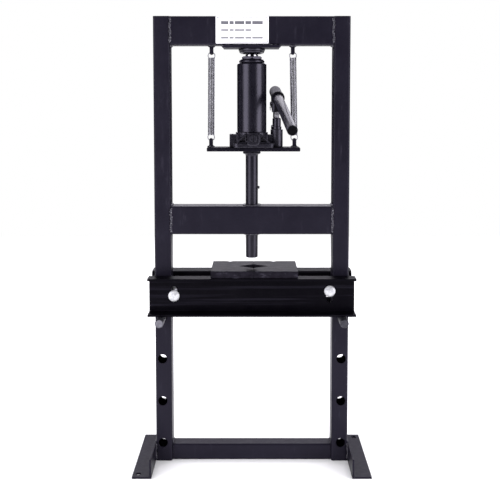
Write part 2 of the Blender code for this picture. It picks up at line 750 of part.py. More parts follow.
def build_socket(socket, bore_line):
    """Handle socket: a tube with two cheeks under it. The origin is the fulcrum, bore_line the tube's axis.

    The plunger pin runs in a short slot, because the pin rises in a line and the cheeks swing in an arc.
    """
    tube_back = 33 * MM
    tube_front = -18.5 * MM
    shell = along_y(sleeve(SOCKET_RADIUS, HANDLE_RADIUS + 0.4 * MM, tube_front, tube_back, 28))
    tube = add("handle_socket", shell, painted(), bore_line)
    back = FULCRUM_BACK
    pin_drop = PLUNGER_PIN_Z - FULCRUM_Z
    top = SOCKET_AXIS_Z - FULCRUM_Z
    outline = [
        (-back - 8 * MM, top - 7 * MM),
        (-back - 8 * MM, pin_drop - 8 * MM),
        (-back - 5 * MM, pin_drop - CHEEK_DROP),
        (-back + 5 * MM, pin_drop - CHEEK_DROP),
        (2 * MM, -7 * MM),
        (7 * MM, -3 * MM),
        (7 * MM, top - 2 * MM),
    ]
    slot_z = pin_drop + 0.15 * MM
    slot = arc((-back - 0.2 * MM, slot_z), 3.6 * MM, 90, 270, 6)
    slot += arc((-back + SLOT_PLAY, slot_z), 3.6 * MM, -90, 90, 6)
    for side in (-1, 1):
        edges = sorted((side * CHEEK_INNER, side * (CHEEK_INNER + CHEEK_THICKNESS)))
        cheek = along_x(prism(outline, edges[0], edges[1]))
        join(tube, add(f"socket_cheek_{side}", cheek, None, socket))
    cut(
        tube,
        add("socket_plunger_slot", along_x(prism(slot, -15 * MM, 15 * MM)), None, socket),
        add("socket_fulcrum_hole", along_x(rod(LINK_PIN_RADIUS + GAP, -15 * MM, 15 * MM, 16)), None, socket),
        add("socket_bore", along_y(rod(HANDLE_RADIUS + 0.4 * MM, -60 * MM, 60 * MM, 28)), None, bore_line),
    )
    mouth = tube_front - GAP
    collar = sleeve(14 * MM, HANDLE_RADIUS + 0.4 * MM, mouth - 6 * MM, mouth, 28)
    add("socket_collar", along_y(collar), painted(), bore_line)


def build_handle(bore_line):
    handle_back = 28 * MM
    handle_front = -272 * MM
    tube = sleeve(HANDLE_RADIUS, HANDLE_RADIUS - HANDLE_WALL, handle_front, handle_back, 28)
    add("handle_tube", along_y(tube), painted(PLATE_PAINT, 0.4), bore_line)


# ---- bed ----------------------------------------------------------------------------------------


def build_channel(name, side, root):
    """Channel with its web against the posts and its flanges pointing away from them."""
    web_y = POST_DEPTH / 2 + GAP
    tip = web_y + CHANNEL_FLANGE
    low, high = BED_Z, BED_Z + BED_HEIGHT
    low_bend = (web_y + CHANNEL_BEND, low + CHANNEL_BEND)
    high_bend = (web_y + CHANNEL_BEND, high - CHANNEL_BEND)
    inner_bend = CHANNEL_BEND - CHANNEL_WEB
    outline = arc(low_bend, CHANNEL_BEND, 180, 270, 4)
    outline += [(tip, low), (tip, low + CHANNEL_WEB)]
    outline += arc(low_bend, inner_bend, 270, 180, 3) + arc(high_bend, inner_bend, 180, 90, 3)
    outline += [(tip, high - CHANNEL_WEB), (tip, high)]
    outline += arc(high_bend, CHANNEL_BEND, 90, 180, 4)
    section = prism([(side * y, z) for y, z in outline], -BED_LENGTH / 2, BED_LENGTH / 2)
    channel = add(name, along_x(section), painted(BED_PAINT, 0.4), root)
    radius = SLOT_WIDTH / 2
    for x in (-BOLT_X, BOLT_X):
        slot = arc((x, SLOT_Z[1] - radius), radius, 0, 180, 8)
        slot += arc((x, SLOT_Z[0] + radius), radius, 180, 360, 8)
        cutter = along_y(prism(slot, -0.1, 0.1))
        cut(channel, add(f"{name}_slot_{int(x > 0)}", cutter, None, root))


def build_bolt(side_name, x, z, bed):
    """Round-headed bolt through both webs, with a washer and a nut behind."""
    web_face = POST_DEPTH / 2 + GAP + CHANNEL_WEB
    head_face = -web_face - GAP
    bolt = turned(
        [
            (0, 0),
            (7 * MM, 0),
            (10.5 * MM, 1.5 * MM),
            (BOLT_HEAD_RADIUS, 3.5 * MM),
            (BOLT_HEAD_RADIUS, 5.5 * MM),
            (BOLT_RADIUS, 5.5 * MM),
            (BOLT_RADIUS, 5.5 * MM + 2 * web_face + 16 * MM),
            (0, 5.5 * MM + 2 * web_face + 16 * MM),
        ],
        28,
    )
    add(f"{side_name}_bolt", along_y(bolt), (ZINC, 0.3, 0.8), bed, (x, head_face - 5.5 * MM, z))
    washer_y = web_face + GAP
    washer = along_y(sleeve(11 * MM, BOLT_RADIUS + GAP, washer_y, washer_y + 1.6 * MM, 24))
    add(f"{side_name}_washer", washer, (ZINC, 0.3, 0.8), bed, (x, 0, z))
    nut_y = washer_y + 1.6 * MM + GAP
    body = along_y(hexagon(17 * MM, nut_y, nut_y + 8 * MM))
    nut = add(f"{side_name}_nut", body, (ZINC, 0.3, 0.8), bed, (x, 0, z))
    bore = along_y(rod(BOLT_RADIUS + GAP, nut_y - 0.01, nut_y + 0.02, SMALL_SEGMENTS))
    cut(nut, add(f"{side_name}_nut_bore", bore, None, bed, (x, 0, z)))


def build_pin(name, side, parent):
    z = PIN_HOLE_FIRST_Z + (PIN_HOLE_COUNT - 1) * PIN_HOLE_PITCH
    x = side * (POST_INNER_X + POST_WIDTH / 2 + 2.5 * MM)
    front, rear = PIN_Y
    bevel = 1.2 * MM
    profile = [
        (0, front),
        (PIN_RADIUS - bevel, front),
        (PIN_RADIUS, front + bevel),
        (PIN_RADIUS, rear - bevel),
        (PIN_RADIUS - bevel, rear),
        (0, rear),
    ]
    add(name, along_y(turned(profile, 24)), (STEEL, 0.45, 0.8), parent, (x, 0, z))


def build_arbor_plate(name, side, parent):
    """Flat plate with a V notch that makes half of the diamond opening, and a small notch at the back."""
    seam = PLATE_SEAM_X + side * GAP / 2
    outer = PLATE_RIGHT_X if side > 0 else PLATE_LEFT_X
    depth = PLATE_HALF_DEPTH
    notch_x = side * 48 * MM
    outline = [
        (seam, -depth),
        (seam, -NOTCH_HALF_OPENING),
        (seam + side * NOTCH_LENGTH, 0),
        (seam, NOTCH_HALF_OPENING),
        (seam, depth),
        (notch_x - side * 6 * MM, depth),
        (notch_x, depth - 6 * MM),
        (notch_x + side * 6 * MM, depth),
        (outer, depth),
        (outer, -depth),
    ]
    low = BED_Z + BED_HEIGHT + GAP
    add(name, prism(outline, low, low + PLATE_THICKNESS), painted(PLATE_PAINT, 0.45), parent)


def main():
    clear_scene()
    root = empty("frame_origin")
    build_frame(root)
    upper_base = FRAME_HEIGHT - BEAM_HEIGHT - GAP
    sides = ("left", "right")
    upper = [build_lug(f"{n}_upper_lug", x, upper_base, -1, root) for n, x in zip(sides, UPPER_LUG_X)]
    head = empty("press_head_axis", root)
    build_press_plate(head)
    lower_base = PRESS_PLATE_Z[1] + GAP
    lower = [build_lug(f"{n}_lower_lug", x, lower_base, 1, head) for n, x in zip(sides, LOWER_LUG_X)]
    for side, *ends in zip(sides, LOWER_LUG_X, UPPER_LUG_X, lower, upper):
        build_spring(f"{side}_spring", *ends, root)
    build_jack_base(head)
    build_tank(head)
    build_piston(root, empty("saddle_axis", root))
    build_release_valve(empty("release_axis", head, (RELEASE_X, -33.5 * MM, RELEASE_Z)))

    pump = empty("pump_axis", head, (PUMP_X, PUMP_Y, 0), (0, 0, PUMP_YAW))
    build_pump_cylinder(pump)
    build_plunger(empty("plunger_axis", pump))
    link = empty("link_axis", pump, (0, FULCRUM_BACK, LINK_FOOT_Z))
    build_link(link)
    plain_pin("link_lower_pin", pump, (0, FULCRUM_BACK, LINK_FOOT_Z))
    headed_pin("link_upper_pin", link, (0, 0, FULCRUM_Z - LINK_FOOT_Z))
    socket = empty("fulcrum_axis", pump, (0, FULCRUM_BACK, FULCRUM_Z))
    bore_line = empty(
        "handle_axis",
        socket,
        (0, -FULCRUM_BACK, SOCKET_AXIS_Z - FULCRUM_Z),
        (HANDLE_PITCH, 0, 0),
    )
    build_socket(socket, bore_line)
    build_handle(bore_line)

    bed = empty("bed_axis", root)
    build_channel("front_channel", -1, bed)
    build_channel("rear_channel", 1, bed)
    build_bolt("left", -BOLT_X, LEFT_BOLT_Z, bed)
    build_bolt("right", BOLT_X, RIGHT_BOLT_Z, bed)
    build_arbor_plate("left_arbor_plate", -1, empty("left_plate_axis", bed))
    build_arbor_plate("right_arbor_plate", 1, empty("right_plate_axis", bed))
    build_pin("left_pin", -1, empty("left_pin_axis", root))
    build_pin("right_pin", 1, empty("right_pin_axis", root))


main()
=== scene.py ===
import json
import math

import bmesh
import bpy
import numpy as np
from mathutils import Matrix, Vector


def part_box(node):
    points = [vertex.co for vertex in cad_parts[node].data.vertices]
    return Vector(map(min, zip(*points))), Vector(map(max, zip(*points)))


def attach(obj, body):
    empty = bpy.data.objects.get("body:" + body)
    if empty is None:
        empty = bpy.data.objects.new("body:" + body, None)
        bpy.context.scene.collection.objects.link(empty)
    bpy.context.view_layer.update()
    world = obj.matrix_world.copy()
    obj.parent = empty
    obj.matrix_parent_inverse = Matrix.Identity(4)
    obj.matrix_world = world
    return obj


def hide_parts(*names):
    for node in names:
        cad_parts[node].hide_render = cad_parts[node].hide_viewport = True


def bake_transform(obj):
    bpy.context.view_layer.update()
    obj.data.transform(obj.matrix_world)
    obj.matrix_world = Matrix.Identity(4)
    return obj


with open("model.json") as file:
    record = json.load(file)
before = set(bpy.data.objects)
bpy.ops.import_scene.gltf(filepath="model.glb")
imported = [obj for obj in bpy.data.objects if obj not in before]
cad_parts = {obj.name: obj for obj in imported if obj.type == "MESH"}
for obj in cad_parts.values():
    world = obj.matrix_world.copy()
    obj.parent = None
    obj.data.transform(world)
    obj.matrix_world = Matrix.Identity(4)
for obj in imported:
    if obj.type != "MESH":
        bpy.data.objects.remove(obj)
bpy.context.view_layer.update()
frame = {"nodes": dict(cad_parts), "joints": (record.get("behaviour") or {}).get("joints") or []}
nodes = frame["nodes"]
joints = {joint["name"]: joint for joint in frame["joints"]}
mm = 0.001
right = np.array([1.0, 0.0, 0.0])
back = np.array([0.0, 1.0, 0.0])
up = np.array([0.0, 0.0, 1.0])
print("frame loaded:", len(nodes), "nodes")


# materials

def linear(hexText):
    # each sRGB channel is turned to linear light by the standard curve
    channels = [int(hexText[i:i + 2], 16) / 255 for i in (1, 3, 5)]
    return tuple(c / 12.92 if c <= 0.04045 else ((c + 0.055) / 1.055) ** 2.4 for c in channels) + (1.0,)


def addNode(material, kind, settings=None, inputs=None):
    # settings are the node's own choices; an input is a value, or a node and the name of its output
    tree = material.node_tree
    node = tree.nodes.new(kind)
    for name, value in (settings or {}).items():
        setattr(node, name, value)
    for name, value in (inputs or {}).items():
        if isinstance(value, tuple) and isinstance(value[0], bpy.types.Node):
            tree.links.new(value[0].outputs[value[1]], node.inputs[name])
        else:
            node.inputs[name].default_value = value
    return node


usualLook = {"metallic": 0.0, "specular": 0.5, "sheen": "#f0ecff", "streakTurn": (0.0, 0.0, 0.0)}


def makeSurface(name, look):
    # A coat or metal with three patterns: clouds of tone, streaks along one way, and a fine grain. The streaks
    # are scuffs and wear on most coats, painted reflections on the bed and painted glints on the welds.
    # tones: dark and light ends; streak: tone, start, amount, size; cloud and grain: size and height, all in mm.
    look = {**usualLook, **look}
    dark, light = look["tones"]
    streakTone, streakFrom, streakAmount, streakSize = look["streak"]
    (cloudSize, cloudHeight), (grainSize, grainHeight) = look["cloud"], look["grain"]
    material = bpy.data.materials.new(name)
    material.use_nodes = True
    shader = material.node_tree.nodes["Principled BSDF"]
    shader.inputs["Metallic"].default_value = look["metallic"]
    shader.inputs["Specular IOR Level"].default_value = look["specular"]
    shader.inputs["Specular Tint"].default_value = linear(look["sheen"])
    place = addNode(material, "ShaderNodeTexCoord")
    cloud = addNode(material, "ShaderNodeTexNoise", None, {
        "Vector": (place, "Object"), "Scale": 1000 / cloudSize, "Detail": 5.0, "Roughness": 0.6})
    stretched = addNode(material, "ShaderNodeMapping", {"vector_type": "TEXTURE"}, {
        "Vector": (place, "Object"), "Scale": [size * mm for size in streakSize],
        "Rotation": look["streakTurn"]})
    streak = addNode(material, "ShaderNodeTexNoise", None, {
        "Vector": (stretched, "Vector"), "Scale": 1.0, "Detail": 4.0, "Roughness": 0.65})
    grain = addNode(material, "ShaderNodeTexNoise", None, {
        "Vector": (place, "Object"), "Scale": 1000 / grainSize, "Detail": 3.0, "Roughness": 0.55})
    cloudShare = addNode(material, "ShaderNodeMapRange", {"clamp": True}, {
        "Value": (cloud, "Fac"), "From Min": 0.35, "From Max": 0.68})
    streakShare = addNode(material, "ShaderNodeMapRange", {"clamp": True}, {
        "Value": (streak, "Fac"), "From Min": streakFrom, "From Max": streakFrom + 0.14,
        "To Max": streakAmount})
    toned = addNode(material, "ShaderNodeMix", {"data_type": "RGBA"}, {
        0: (cloudShare, "Result"), 6: linear(dark), 7: linear(light)})
    # the streak mix: wear and scuffs on most coats, painted reflections on the bed, painted glints on the welds
    wearAndPaintedLight = addNode(material, "ShaderNodeMix", {"data_type": "RGBA"}, {
        0: (streakShare, "Result"), 6: (toned, 2), 7: linear(streakTone)})
    material.node_tree.links.new(wearAndPaintedLight.outputs[2], shader.inputs["Base Color"])
    rough = addNode(material, "ShaderNodeMapRange", {"clamp": True}, {
        "Value": (streak, "Fac"), "From Min": 0.3, "From Max": 0.7,
        "To Min": look["roughness"][0], "To Max": look["roughness"][1]})
    material.node_tree.links.new(rough.outputs["Result"], shader.inputs["Roughness"])
    broad = addNode(material, "ShaderNodeBump", None, {
        "Height": (cloud, "Fac"), "Strength": 1.0, "Distance": cloudHeight * mm})
    fine = addNode(material, "ShaderNodeBump", None, {
        "Height": (grain, "Fac"), "Strength": 1.0, "Distance": grainHeight * mm,
        "Normal": (broad, "Normal")})
    material.node_tree.links.new(fine.outputs["Normal"], shader.inputs["Normal"])
    return material


surfaces = {
    # satin black powder coat over mill steel: a soft sheen, orange peel, and dusty rubs that run up the tubes
    "framePaint": makeSurface("satin_black_powder_coat", {
        "tones": ("#12101a", "#17151f"), "streak": ("#2b2933", 0.6, 0.5, (9, 9, 60)),
        "cloud": (60, 0.5), "grain": (2.4, 0.16), "roughness": (0.36, 0.48), "specular": 0.16}),
    # the same coat on the bed, made blacker as painted shade for the recessed channel webs, and smoother, with
    # faint lighter lines along the channels as painted reflections
    "bedShadeAndReflectionPaint": makeSurface("black_powder_coat_on_channel", {
        "tones": ("#050408", "#0a090d"), "streak": ("#24222b", 0.53, 0.45, (420, 8, 8)),
        "cloud": (45, 0.3), "grain": (2.2, 0.12), "roughness": (0.3, 0.42), "specular": 0.045}),
    # flame cut plate under a thin coat: greyer, with scale mottling and rubbed patches where work has slid
    "platePaint": makeSurface("thin_black_coat_on_plate", {
        "tones": ("#0c0a10", "#1a181f"), "streak": ("#3d3b44", 0.56, 0.7, (22, 10, 10)),
        "cloud": (14, 0.35), "grain": (1.6, 0.14), "roughness": (0.36, 0.5), "specular": 0.09}),
    # semi-gloss enamel sprayed on the jack: clean highlights with a little orange peel
    "jackEnamel": makeSurface("semi_gloss_black_enamel", {
        "tones": ("#0b0a11", "#111018"), "streak": ("#24222c", 0.62, 0.4, (6, 6, 40)),
        "cloud": (30, 0.15), "grain": (2.0, 0.05), "roughness": (0.24, 0.32), "specular": 0.5}),
    # enamel over sand-cast iron: the sand grain shows through as a coarse bump that breaks up the shine
    "castEnamel": makeSurface("black_enamel_on_sand_casting", {
        "tones": ("#0d0c12", "#16151c"), "streak": ("#2b2a32", 0.6, 0.5, (8, 8, 8)),
        "cloud": (7, 0.5), "grain": (1.7, 0.2), "roughness": (0.26, 0.4), "specular": 0.5}),
    # painted round bar: satin, with the drawn bar's long faint lines
    "ramPaint": makeSurface("satin_paint_on_drawn_bar", {
        "tones": ("#0c0b11", "#13121a"), "streak": ("#24222c", 0.56, 0.5, (3, 3, 70)),
        "cloud": (25, 0.2), "grain": (1.8, 0.08), "roughness": (0.26, 0.36), "specular": 0.35}),
    # handle tube: black paint with lighter grey streaks that run along it
    "handlePaint": makeSurface("streaked_black_paint_on_tube", {
        "tones": ("#0b0a0f", "#15141a"), "streak": ("#3b3a46", 0.49, 0.8, (4, 160, 4)),
        "cloud": (18, 0.2), "grain": (1.5, 0.06),
        "streakTurn": (math.radians(14.2), 0.0, math.radians(4.5)), "roughness": (0.28, 0.4),
        "specular": 0.28}),
    # handle socket: matt black paint toned mid grey all over as painted light, standing in for the light that
    # falls on its upper side
    "socketLitPaint": makeSurface("matt_black_paint_toned_as_painted_light", {
        "tones": ("#2e2d34", "#3a3940"), "streak": ("#4c4b52", 0.58, 0.4, (8, 20, 8)),
        "cloud": (20, 0.1), "grain": (1.6, 0.03), "roughness": (0.5, 0.6), "specular": 0.12}),
    # press plate: the frame's coat, duller, so its flat top stays dark
    "pressPaint": makeSurface("dull_black_powder_coat", {
        "tones": ("#0e0d14", "#15131b"), "streak": ("#2b2933", 0.6, 0.5, (30, 9, 5)),
        "cloud": (30, 0.4), "grain": (2.2, 0.14), "roughness": (0.55, 0.7), "specular": 0.05}),
    # bright zinc plate: pale bluish metal, softly cloudy
    "zincPlate": makeSurface("bright_zinc_plate", {
        "tones": ("#b4b5b8", "#d8d9da"), "streak": ("#ececea", 0.55, 0.6, (4, 4, 4)),
        "cloud": (5, 0.05), "grain": (0.9, 0.02), "roughness": (0.24, 0.38), "metallic": 0.3}),
    # oiled dark steel: grey metal under a thin brown-black film
    "darkSteel": makeSurface("oiled_dark_steel", {
        "tones": ("#2b2a2c", "#454448"), "streak": ("#6b6a6e", 0.58, 0.5, (3, 3, 12)),
        "cloud": (6, 0.1), "grain": (1.0, 0.05), "roughness": (0.32, 0.48), "metallic": 0.9}),
    # plunger: ground steel with a satin sheen and hairline marks round it
    "plungerSteel": makeSurface("satin_ground_steel", {
        "tones": ("#77767b", "#98979b"), "streak": ("#b5b4b6", 0.55, 0.5, (12, 12, 0.9)),
        "cloud": (8, 0.05), "grain": (0.9, 0.03), "roughness": (0.3, 0.42), "metallic": 0.85}),
    # right bed pin: black oxide bar, rubbed brighter in places
    "pinSteel": makeSurface("black_oxide_bar", {
        "tones": ("#1d1d20", "#35353a"), "streak": ("#7d7d80", 0.58, 0.55, (4, 40, 4)),
        "cloud": (7, 0.12), "grain": (1.1, 0.06), "roughness": (0.34, 0.5), "metallic": 0.1}),
    # left bed pin: the same bar with a dull sawn grey end
    "greyEndPin": makeSurface("dull_grey_sawn_bar_end", {
        "tones": ("#55555a", "#6b6a70"), "streak": ("#8d8c90", 0.55, 0.5, (1.2, 40, 9)),
        "cloud": (6, 0.1), "grain": (0.9, 0.06), "roughness": (0.4, 0.55), "metallic": 0.1}),
    # chromed and ground parts inside the jack: mirror bright
    "groundSteel": makeSurface("ground_and_polished_steel", {
        "tones": ("#a9a9ac", "#c4c4c6"), "streak": ("#d8d8d8", 0.55, 0.5, (10, 10, 0.8)),
        "cloud": (10, 0.02), "grain": (0.8, 0.01), "roughness": (0.12, 0.2), "metallic": 1.0}),
    # nickel coloured spring wire: bright, each turn with its own glint
    "springWire": makeSurface("bright_spring_wire", {
        "tones": ("#8e8e92", "#adadb0"), "streak": ("#d0d0d0", 0.56, 0.5, (3, 3, 3)),
        "cloud": (5, 0.02), "grain": (0.8, 0.01), "roughness": (0.22, 0.34), "metallic": 0.95}),
    # collar: near-black with no shine, painted shade for the socket's shadowed front end; the socket web takes it
    # too
    "collarShadeBlack": makeSurface("painted_shade_black", {
        "tones": ("#050507", "#08080a"), "streak": ("#101013", 0.62, 0.3, (6, 6, 6)),
        "cloud": (9, 0.1), "grain": (1.4, 0.05), "roughness": (0.45, 0.6), "specular": 0.1}),
    # moulded nitrile rubber: dull black; the seam strip and the disc in the handle's bore take it as painted
    # shade
    "blackRubberAndShade": makeSurface("moulded_black_rubber_and_painted_shade", {
        "tones": ("#050506", "#09090a"), "streak": ("#141415", 0.62, 0.3, (4, 4, 4)),
        "cloud": (6, 0.1), "grain": (0.9, 0.05), "roughness": (0.6, 0.75), "specular": 0.05}),
    # white vinyl film: an even, slightly glossy white
    "labelFilm": makeSurface("white_vinyl_film", {
        "tones": ("#eeeef0", "#f6f6f7"), "streak": ("#e4e4e6", 0.62, 0.3, (30, 30, 8)),
        "cloud": (30, 0.08), "grain": (1.5, 0.01), "roughness": (0.3, 0.4)}),
    # pale printing on the film: the small rows
    "labelPale": makeSurface("pale_screen_ink", {
        "tones": ("#77777b", "#858589"), "streak": ("#96969a", 0.6, 0.3, (6, 6, 2)),
        "cloud": (4, 0.01), "grain": (0.8, 0.01), "roughness": (0.45, 0.55)}),
    # screen printed ink on the film: soft dark grey
    "labelInk": makeSurface("grey_screen_ink", {
        "tones": ("#57575c", "#66666b"), "streak": ("#77777c", 0.6, 0.3, (6, 6, 2)),
        "cloud": (4, 0.01), "grain": (0.8, 0.01), "roughness": (0.45, 0.55)}),
    # weld metal under thin paint: greyer than the tubes, with pale specks on the ripples as painted glints
    "weldGlintPaint": makeSurface("thin_black_coat_on_weld_with_painted_glints", {
        "tones": ("#151419", "#2c2b31"), "streak": ("#c9c8cd", 0.57, 0.85, (1.4, 1.4, 2.0)),
        "cloud": (4, 0.4), "grain": (1.4, 0.25), "roughness": (0.24, 0.42), "metallic": 0.1}),
}
print("materials made:", len(surfaces))


# measuring the frame

def nodePoints(name):
    mesh = nodes[name].data
    points = np.zeros(len(mesh.vertices) * 3)
    mesh.vertices.foreach_get("co", points)
    return points.reshape(-1, 3)


def cornersOf(name):
    return [np.array(corner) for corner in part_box(name)]


def gauge(name, axis):
    # a round node's size: its box's middle, its two ends along the axis, and its largest distance from the axis
    points = nodePoints(name)
    axis = np.array(axis) / np.linalg.norm(axis)
    middle = (points.min(0) + points.max(0)) / 2
    along = (points - middle) @ axis
    across = np.linalg.norm(points - middle - along[:, None] * axis, axis=1)
    return {"middle": middle, "axis": axis, "low": along.min(), "high": along.max(), "radius": across.max()}


# meshes

def gridQuads(rows, columns, closedRows, closedColumns, first=0):
    # each quad joins a grid point to the next one along its row and to the same two points on the next row
    r = np.arange(rows if closedRows else rows - 1)[:, None]
    c = np.arange(columns if closedColumns else columns - 1)[None, :]
    r2, c2 = (r + 1) % rows, (c + 1) % columns
    corners = (r * columns + c, r * columns + c2, r2 * columns + c2, r2 * columns + c)
    return first + np.stack(np.broadcast_arrays(*corners), -1).reshape(-1, 4)


def makePiece(name, grids, finish, body, replaced=(), smoothAngle=40, weighted=True):
    # grids are (points, closedRows, closedColumns); they become the parts of one mesh
    points, quads, count = [], [], 0
    for grid, closedRows, closedColumns in grids:
        rows, columns = grid.shape[:2]
        quads.append(gridQuads(rows, columns, closedRows, closedColumns, count))
        points.append(grid.reshape(-1, 3))
        count += rows * columns
    mesh = bpy.data.meshes.new(name)
    mesh.from_pydata(np.concatenate(points), [], np.concatenate(quads).tolist())
    return settle(name, mesh, finish, body, replaced, smoothAngle, weighted)


def settle(name, mesh, finish, body, replaced=(), smoothAngle=40, weighted=True, flatten=False):
    # merges doubles, turns faces outwards, shades it and puts the piece on its body
    bm = bmesh.new()
    bm.from_mesh(mesh)
    bmesh.ops.remove_doubles(bm, verts=bm.verts, dist=1e-6)
    bmesh.ops.dissolve_degenerate(bm, edges=bm.edges, dist=1e-6)
    if flatten:
        bmesh.ops.dissolve_limit(bm, angle_limit=math.radians(0.4), verts=bm.verts, edges=bm.edges)
    bmesh.ops.recalc_face_normals(bm, faces=bm.faces)
    bm.to_mesh(mesh)
    bm.free()
    mesh.shade_smooth()
    mesh.set_sharp_from_angle(angle=math.radians(smoothAngle))
    mesh.materials.clear()
    mesh.materials.append(surfaces[finish])
    piece = bpy.data.objects.new(name, mesh)
    bpy.context.scene.collection.objects.link(piece)
    if weighted:
        piece.modifiers.new("weighted normals", "WEIGHTED_NORMAL").keep_sharp = True
    if body:
        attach(piece, body)
    if replaced:
        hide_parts(*replaced)
    return piece


def refine(name, finish, body, edge=0.6, steps=3, bevelAngle=32, smoothAngle=42):
    # a merged copy of a node with its cut edges rounded by a live bevel, edge in millimetres
    piece = settle(f"{name}_finished", nodes[name].data.copy(), finish, body, [name], smoothAngle, False, True)
    bevel = piece.modifiers.new("rounded edges", "BEVEL")
    bevel.width = edge * mm
    bevel.segments = steps
    bevel.limit_method = "ANGLE"
    bevel.angle_limit = math.radians(bevelAngle)
    bevel.harden_normals = True
    piece.modifiers.new("weighted normals", "WEIGHTED_NORMAL").keep_sharp = True
    return piece


def roundCorners(points, steps=4):
    # points are (x, y, radius): each corner is swapped for a curve that leaves and meets its two sides
    points = [(np.array(p[:2], float), p[2] if len(p) > 2 else 0.0) for p in points]
    line = [points[0][0]]
    for (before, _), (corner, radius), (after, _) in zip(points, points[1:], points[2:]):
        if radius == 0:
            line.append(corner)
            continue
        start = corner + (before - corner) / np.linalg.norm(before - corner) * radius
        end = corner + (after - corner) / np.linalg.norm(after - corner) * radius
        t = np.linspace(0, 1, steps + 1)[:, None]
        line.extend((1 - t) ** 2 * start + 2 * t * (1 - t) * corner + t ** 2 * end)
    line.append(points[-1][0])
    return np.array(line)


def latheGrid(profile, middle, axis, segments=96):
    # surface of revolution: radius times a turning pair of side directions, plus height times the axis
    axis = np.array(axis) / np.linalg.norm(axis)
    side = np.cross(axis, right if abs(axis[0]) < 0.7 else up)
    side /= np.linalg.norm(side)
    other = np.cross(axis, side)
    turn = np.linspace(0, 2 * np.pi, segments, endpoint=False)[None, :, None]
    radius, height = profile[:, 0, None, None], profile[:, 1, None, None]
    return middle + radius * (np.cos(turn) * side + np.sin(turn) * other) + height * axis


def turned(name, profile, middle, axis, finish, body, replaced=(), closed=False, segments=96, angle=40):
    # the profile is (radius, height, corner rounding) in metres; closed for a ring, otherwise it ends on the axis
    line = roundCorners(profile + [profile[0]] if closed else profile)
    if closed:
        line = line[:-1]
    grid = latheGrid(line, middle, axis, segments)
    return makePiece(name, [(grid, closed, True)], finish, body, replaced, angle)


def roundedOutline(halfWidth, halfDepth, radius, steps=6, support=0.4 * mm):
    # a rounded rectangle: four quarter arcs, each with a support point just past both of its ends
    turn = np.linspace(0, np.pi / 2, steps + 1)
    arc = np.stack([np.cos(turn), np.sin(turn)], -1) * radius
    arc = np.concatenate([[[radius, -support]], arc, [[-support, radius]]])
    corners = []
    for quarter in range(4):
        c, s = math.cos(quarter * math.pi / 2), math.sin(quarter * math.pi / 2)
        signs = np.array([c - s, c + s])
        middle = signs * (np.array([halfWidth, halfDepth]) - radius)
        corners.append(middle + arc @ np.array([[c, s], [-s, c]]))
    return np.concatenate(corners)


def tubeGrid(outer, inner, low, high, place, lip=0.5 * mm):
    # an open tube: its outer outline runs up, rounds over each end by a small lip and the inner one runs back
    middle = outer.mean(0)
    shrink = lambda outline, by: middle + (outline - middle) * (1 - by / np.abs(outline - middle).max(0))
    rows = [
        (outer, low + lip), (outer, low + 2 * lip), (outer, high - 2 * lip), (outer, high - lip),
        (shrink(outer, 0.3 * lip), high - 0.3 * lip), (shrink(outer, lip), high), (inner, high), (inner, low),
        (shrink(outer, lip), low), (shrink(outer, 0.3 * lip), low + 0.3 * lip),
    ]
    return np.stack([place(outline, height) for outline, height in rows])


def sweepGrid(path, radius, reference, sides=10, caps=True):
    # a round wire: circles square to the path, turned by the cross product of its direction and a reference
    along = np.gradient(path, axis=0)
    along /= np.linalg.norm(along, axis=1)[:, None]
    side = np.cross(along, reference)
    side /= np.linalg.norm(side, axis=1)[:, None]
    other = np.cross(along, side)
    turn = np.linspace(0, 2 * np.pi, sides, endpoint=False)
    ring = np.cos(turn)[None, :, None] * side[:, None] + np.sin(turn)[None, :, None] * other[:, None]
    radius = np.broadcast_to(radius, len(path))[:, None, None]
    grid = path[:, None] + radius * ring
    if caps:
        ends = [np.repeat(path[i][None, None], sides, 1) for i in (0, -1)]
        grid = np.concatenate([ends[0], grid, ends[1]])
    return grid


def beadGrid(start, end, width, height, facing, ripple=2.6 * mm, seed=0):
    # a weld bead: a flattened tube along the seam, its crown raised by ripples that bow back at its sides
    start, end, facing = (np.array(v, float) for v in (start, end, facing))
    length = np.linalg.norm(end - start)
    along = (end - start) / length
    facing /= np.linalg.norm(facing)
    side = np.cross(along, facing)
    rows = max(12, int(length / (0.35 * mm)))
    u = np.linspace(0, length, rows)[:, None]
    turn = np.linspace(0, 2 * np.pi, 14, endpoint=False)[None, :]
    bow = np.sin(turn) ** 2 * ripple * 0.35
    wander = 1 + 0.16 * np.sin(u * 430 + seed) + 0.12 * np.sin(u * 1130 + 2.3 * seed)
    drift = (0.6 * mm * np.sin(u * 210 + 1.7 * seed) + 0.35 * mm * np.sin(u * 760 + seed))[..., None] * side
    wave = 0.86 + 0.14 * np.abs(np.sin(np.pi * (u + bow) / ripple + seed))
    fade = np.clip(np.minimum(u, length - u) / (1.6 * mm), 0, 1) ** 0.5
    reach = (np.cos(turn) * wave * height * wander)[..., None] * facing
    spread = (np.sin(turn) * width / 2 * wander * wave)[..., None] * side
    return start + u[..., None] * along + drift + fade[..., None] * (reach + spread)


print("mesh tools ready")


# welded frame

# edges in millimetres
post = {"edge": 0.7, "footEdge": 0.9}


def makePosts():
    for side in ("left", "right"):
        refine(f"{side}_post", "framePaint", "frame", post["edge"], 3)
        refine(f"{side}_foot", "framePaint", "frame", post["footEdge"], 3)


beam = {"corner": 4 * mm, "wall": 3 * mm}


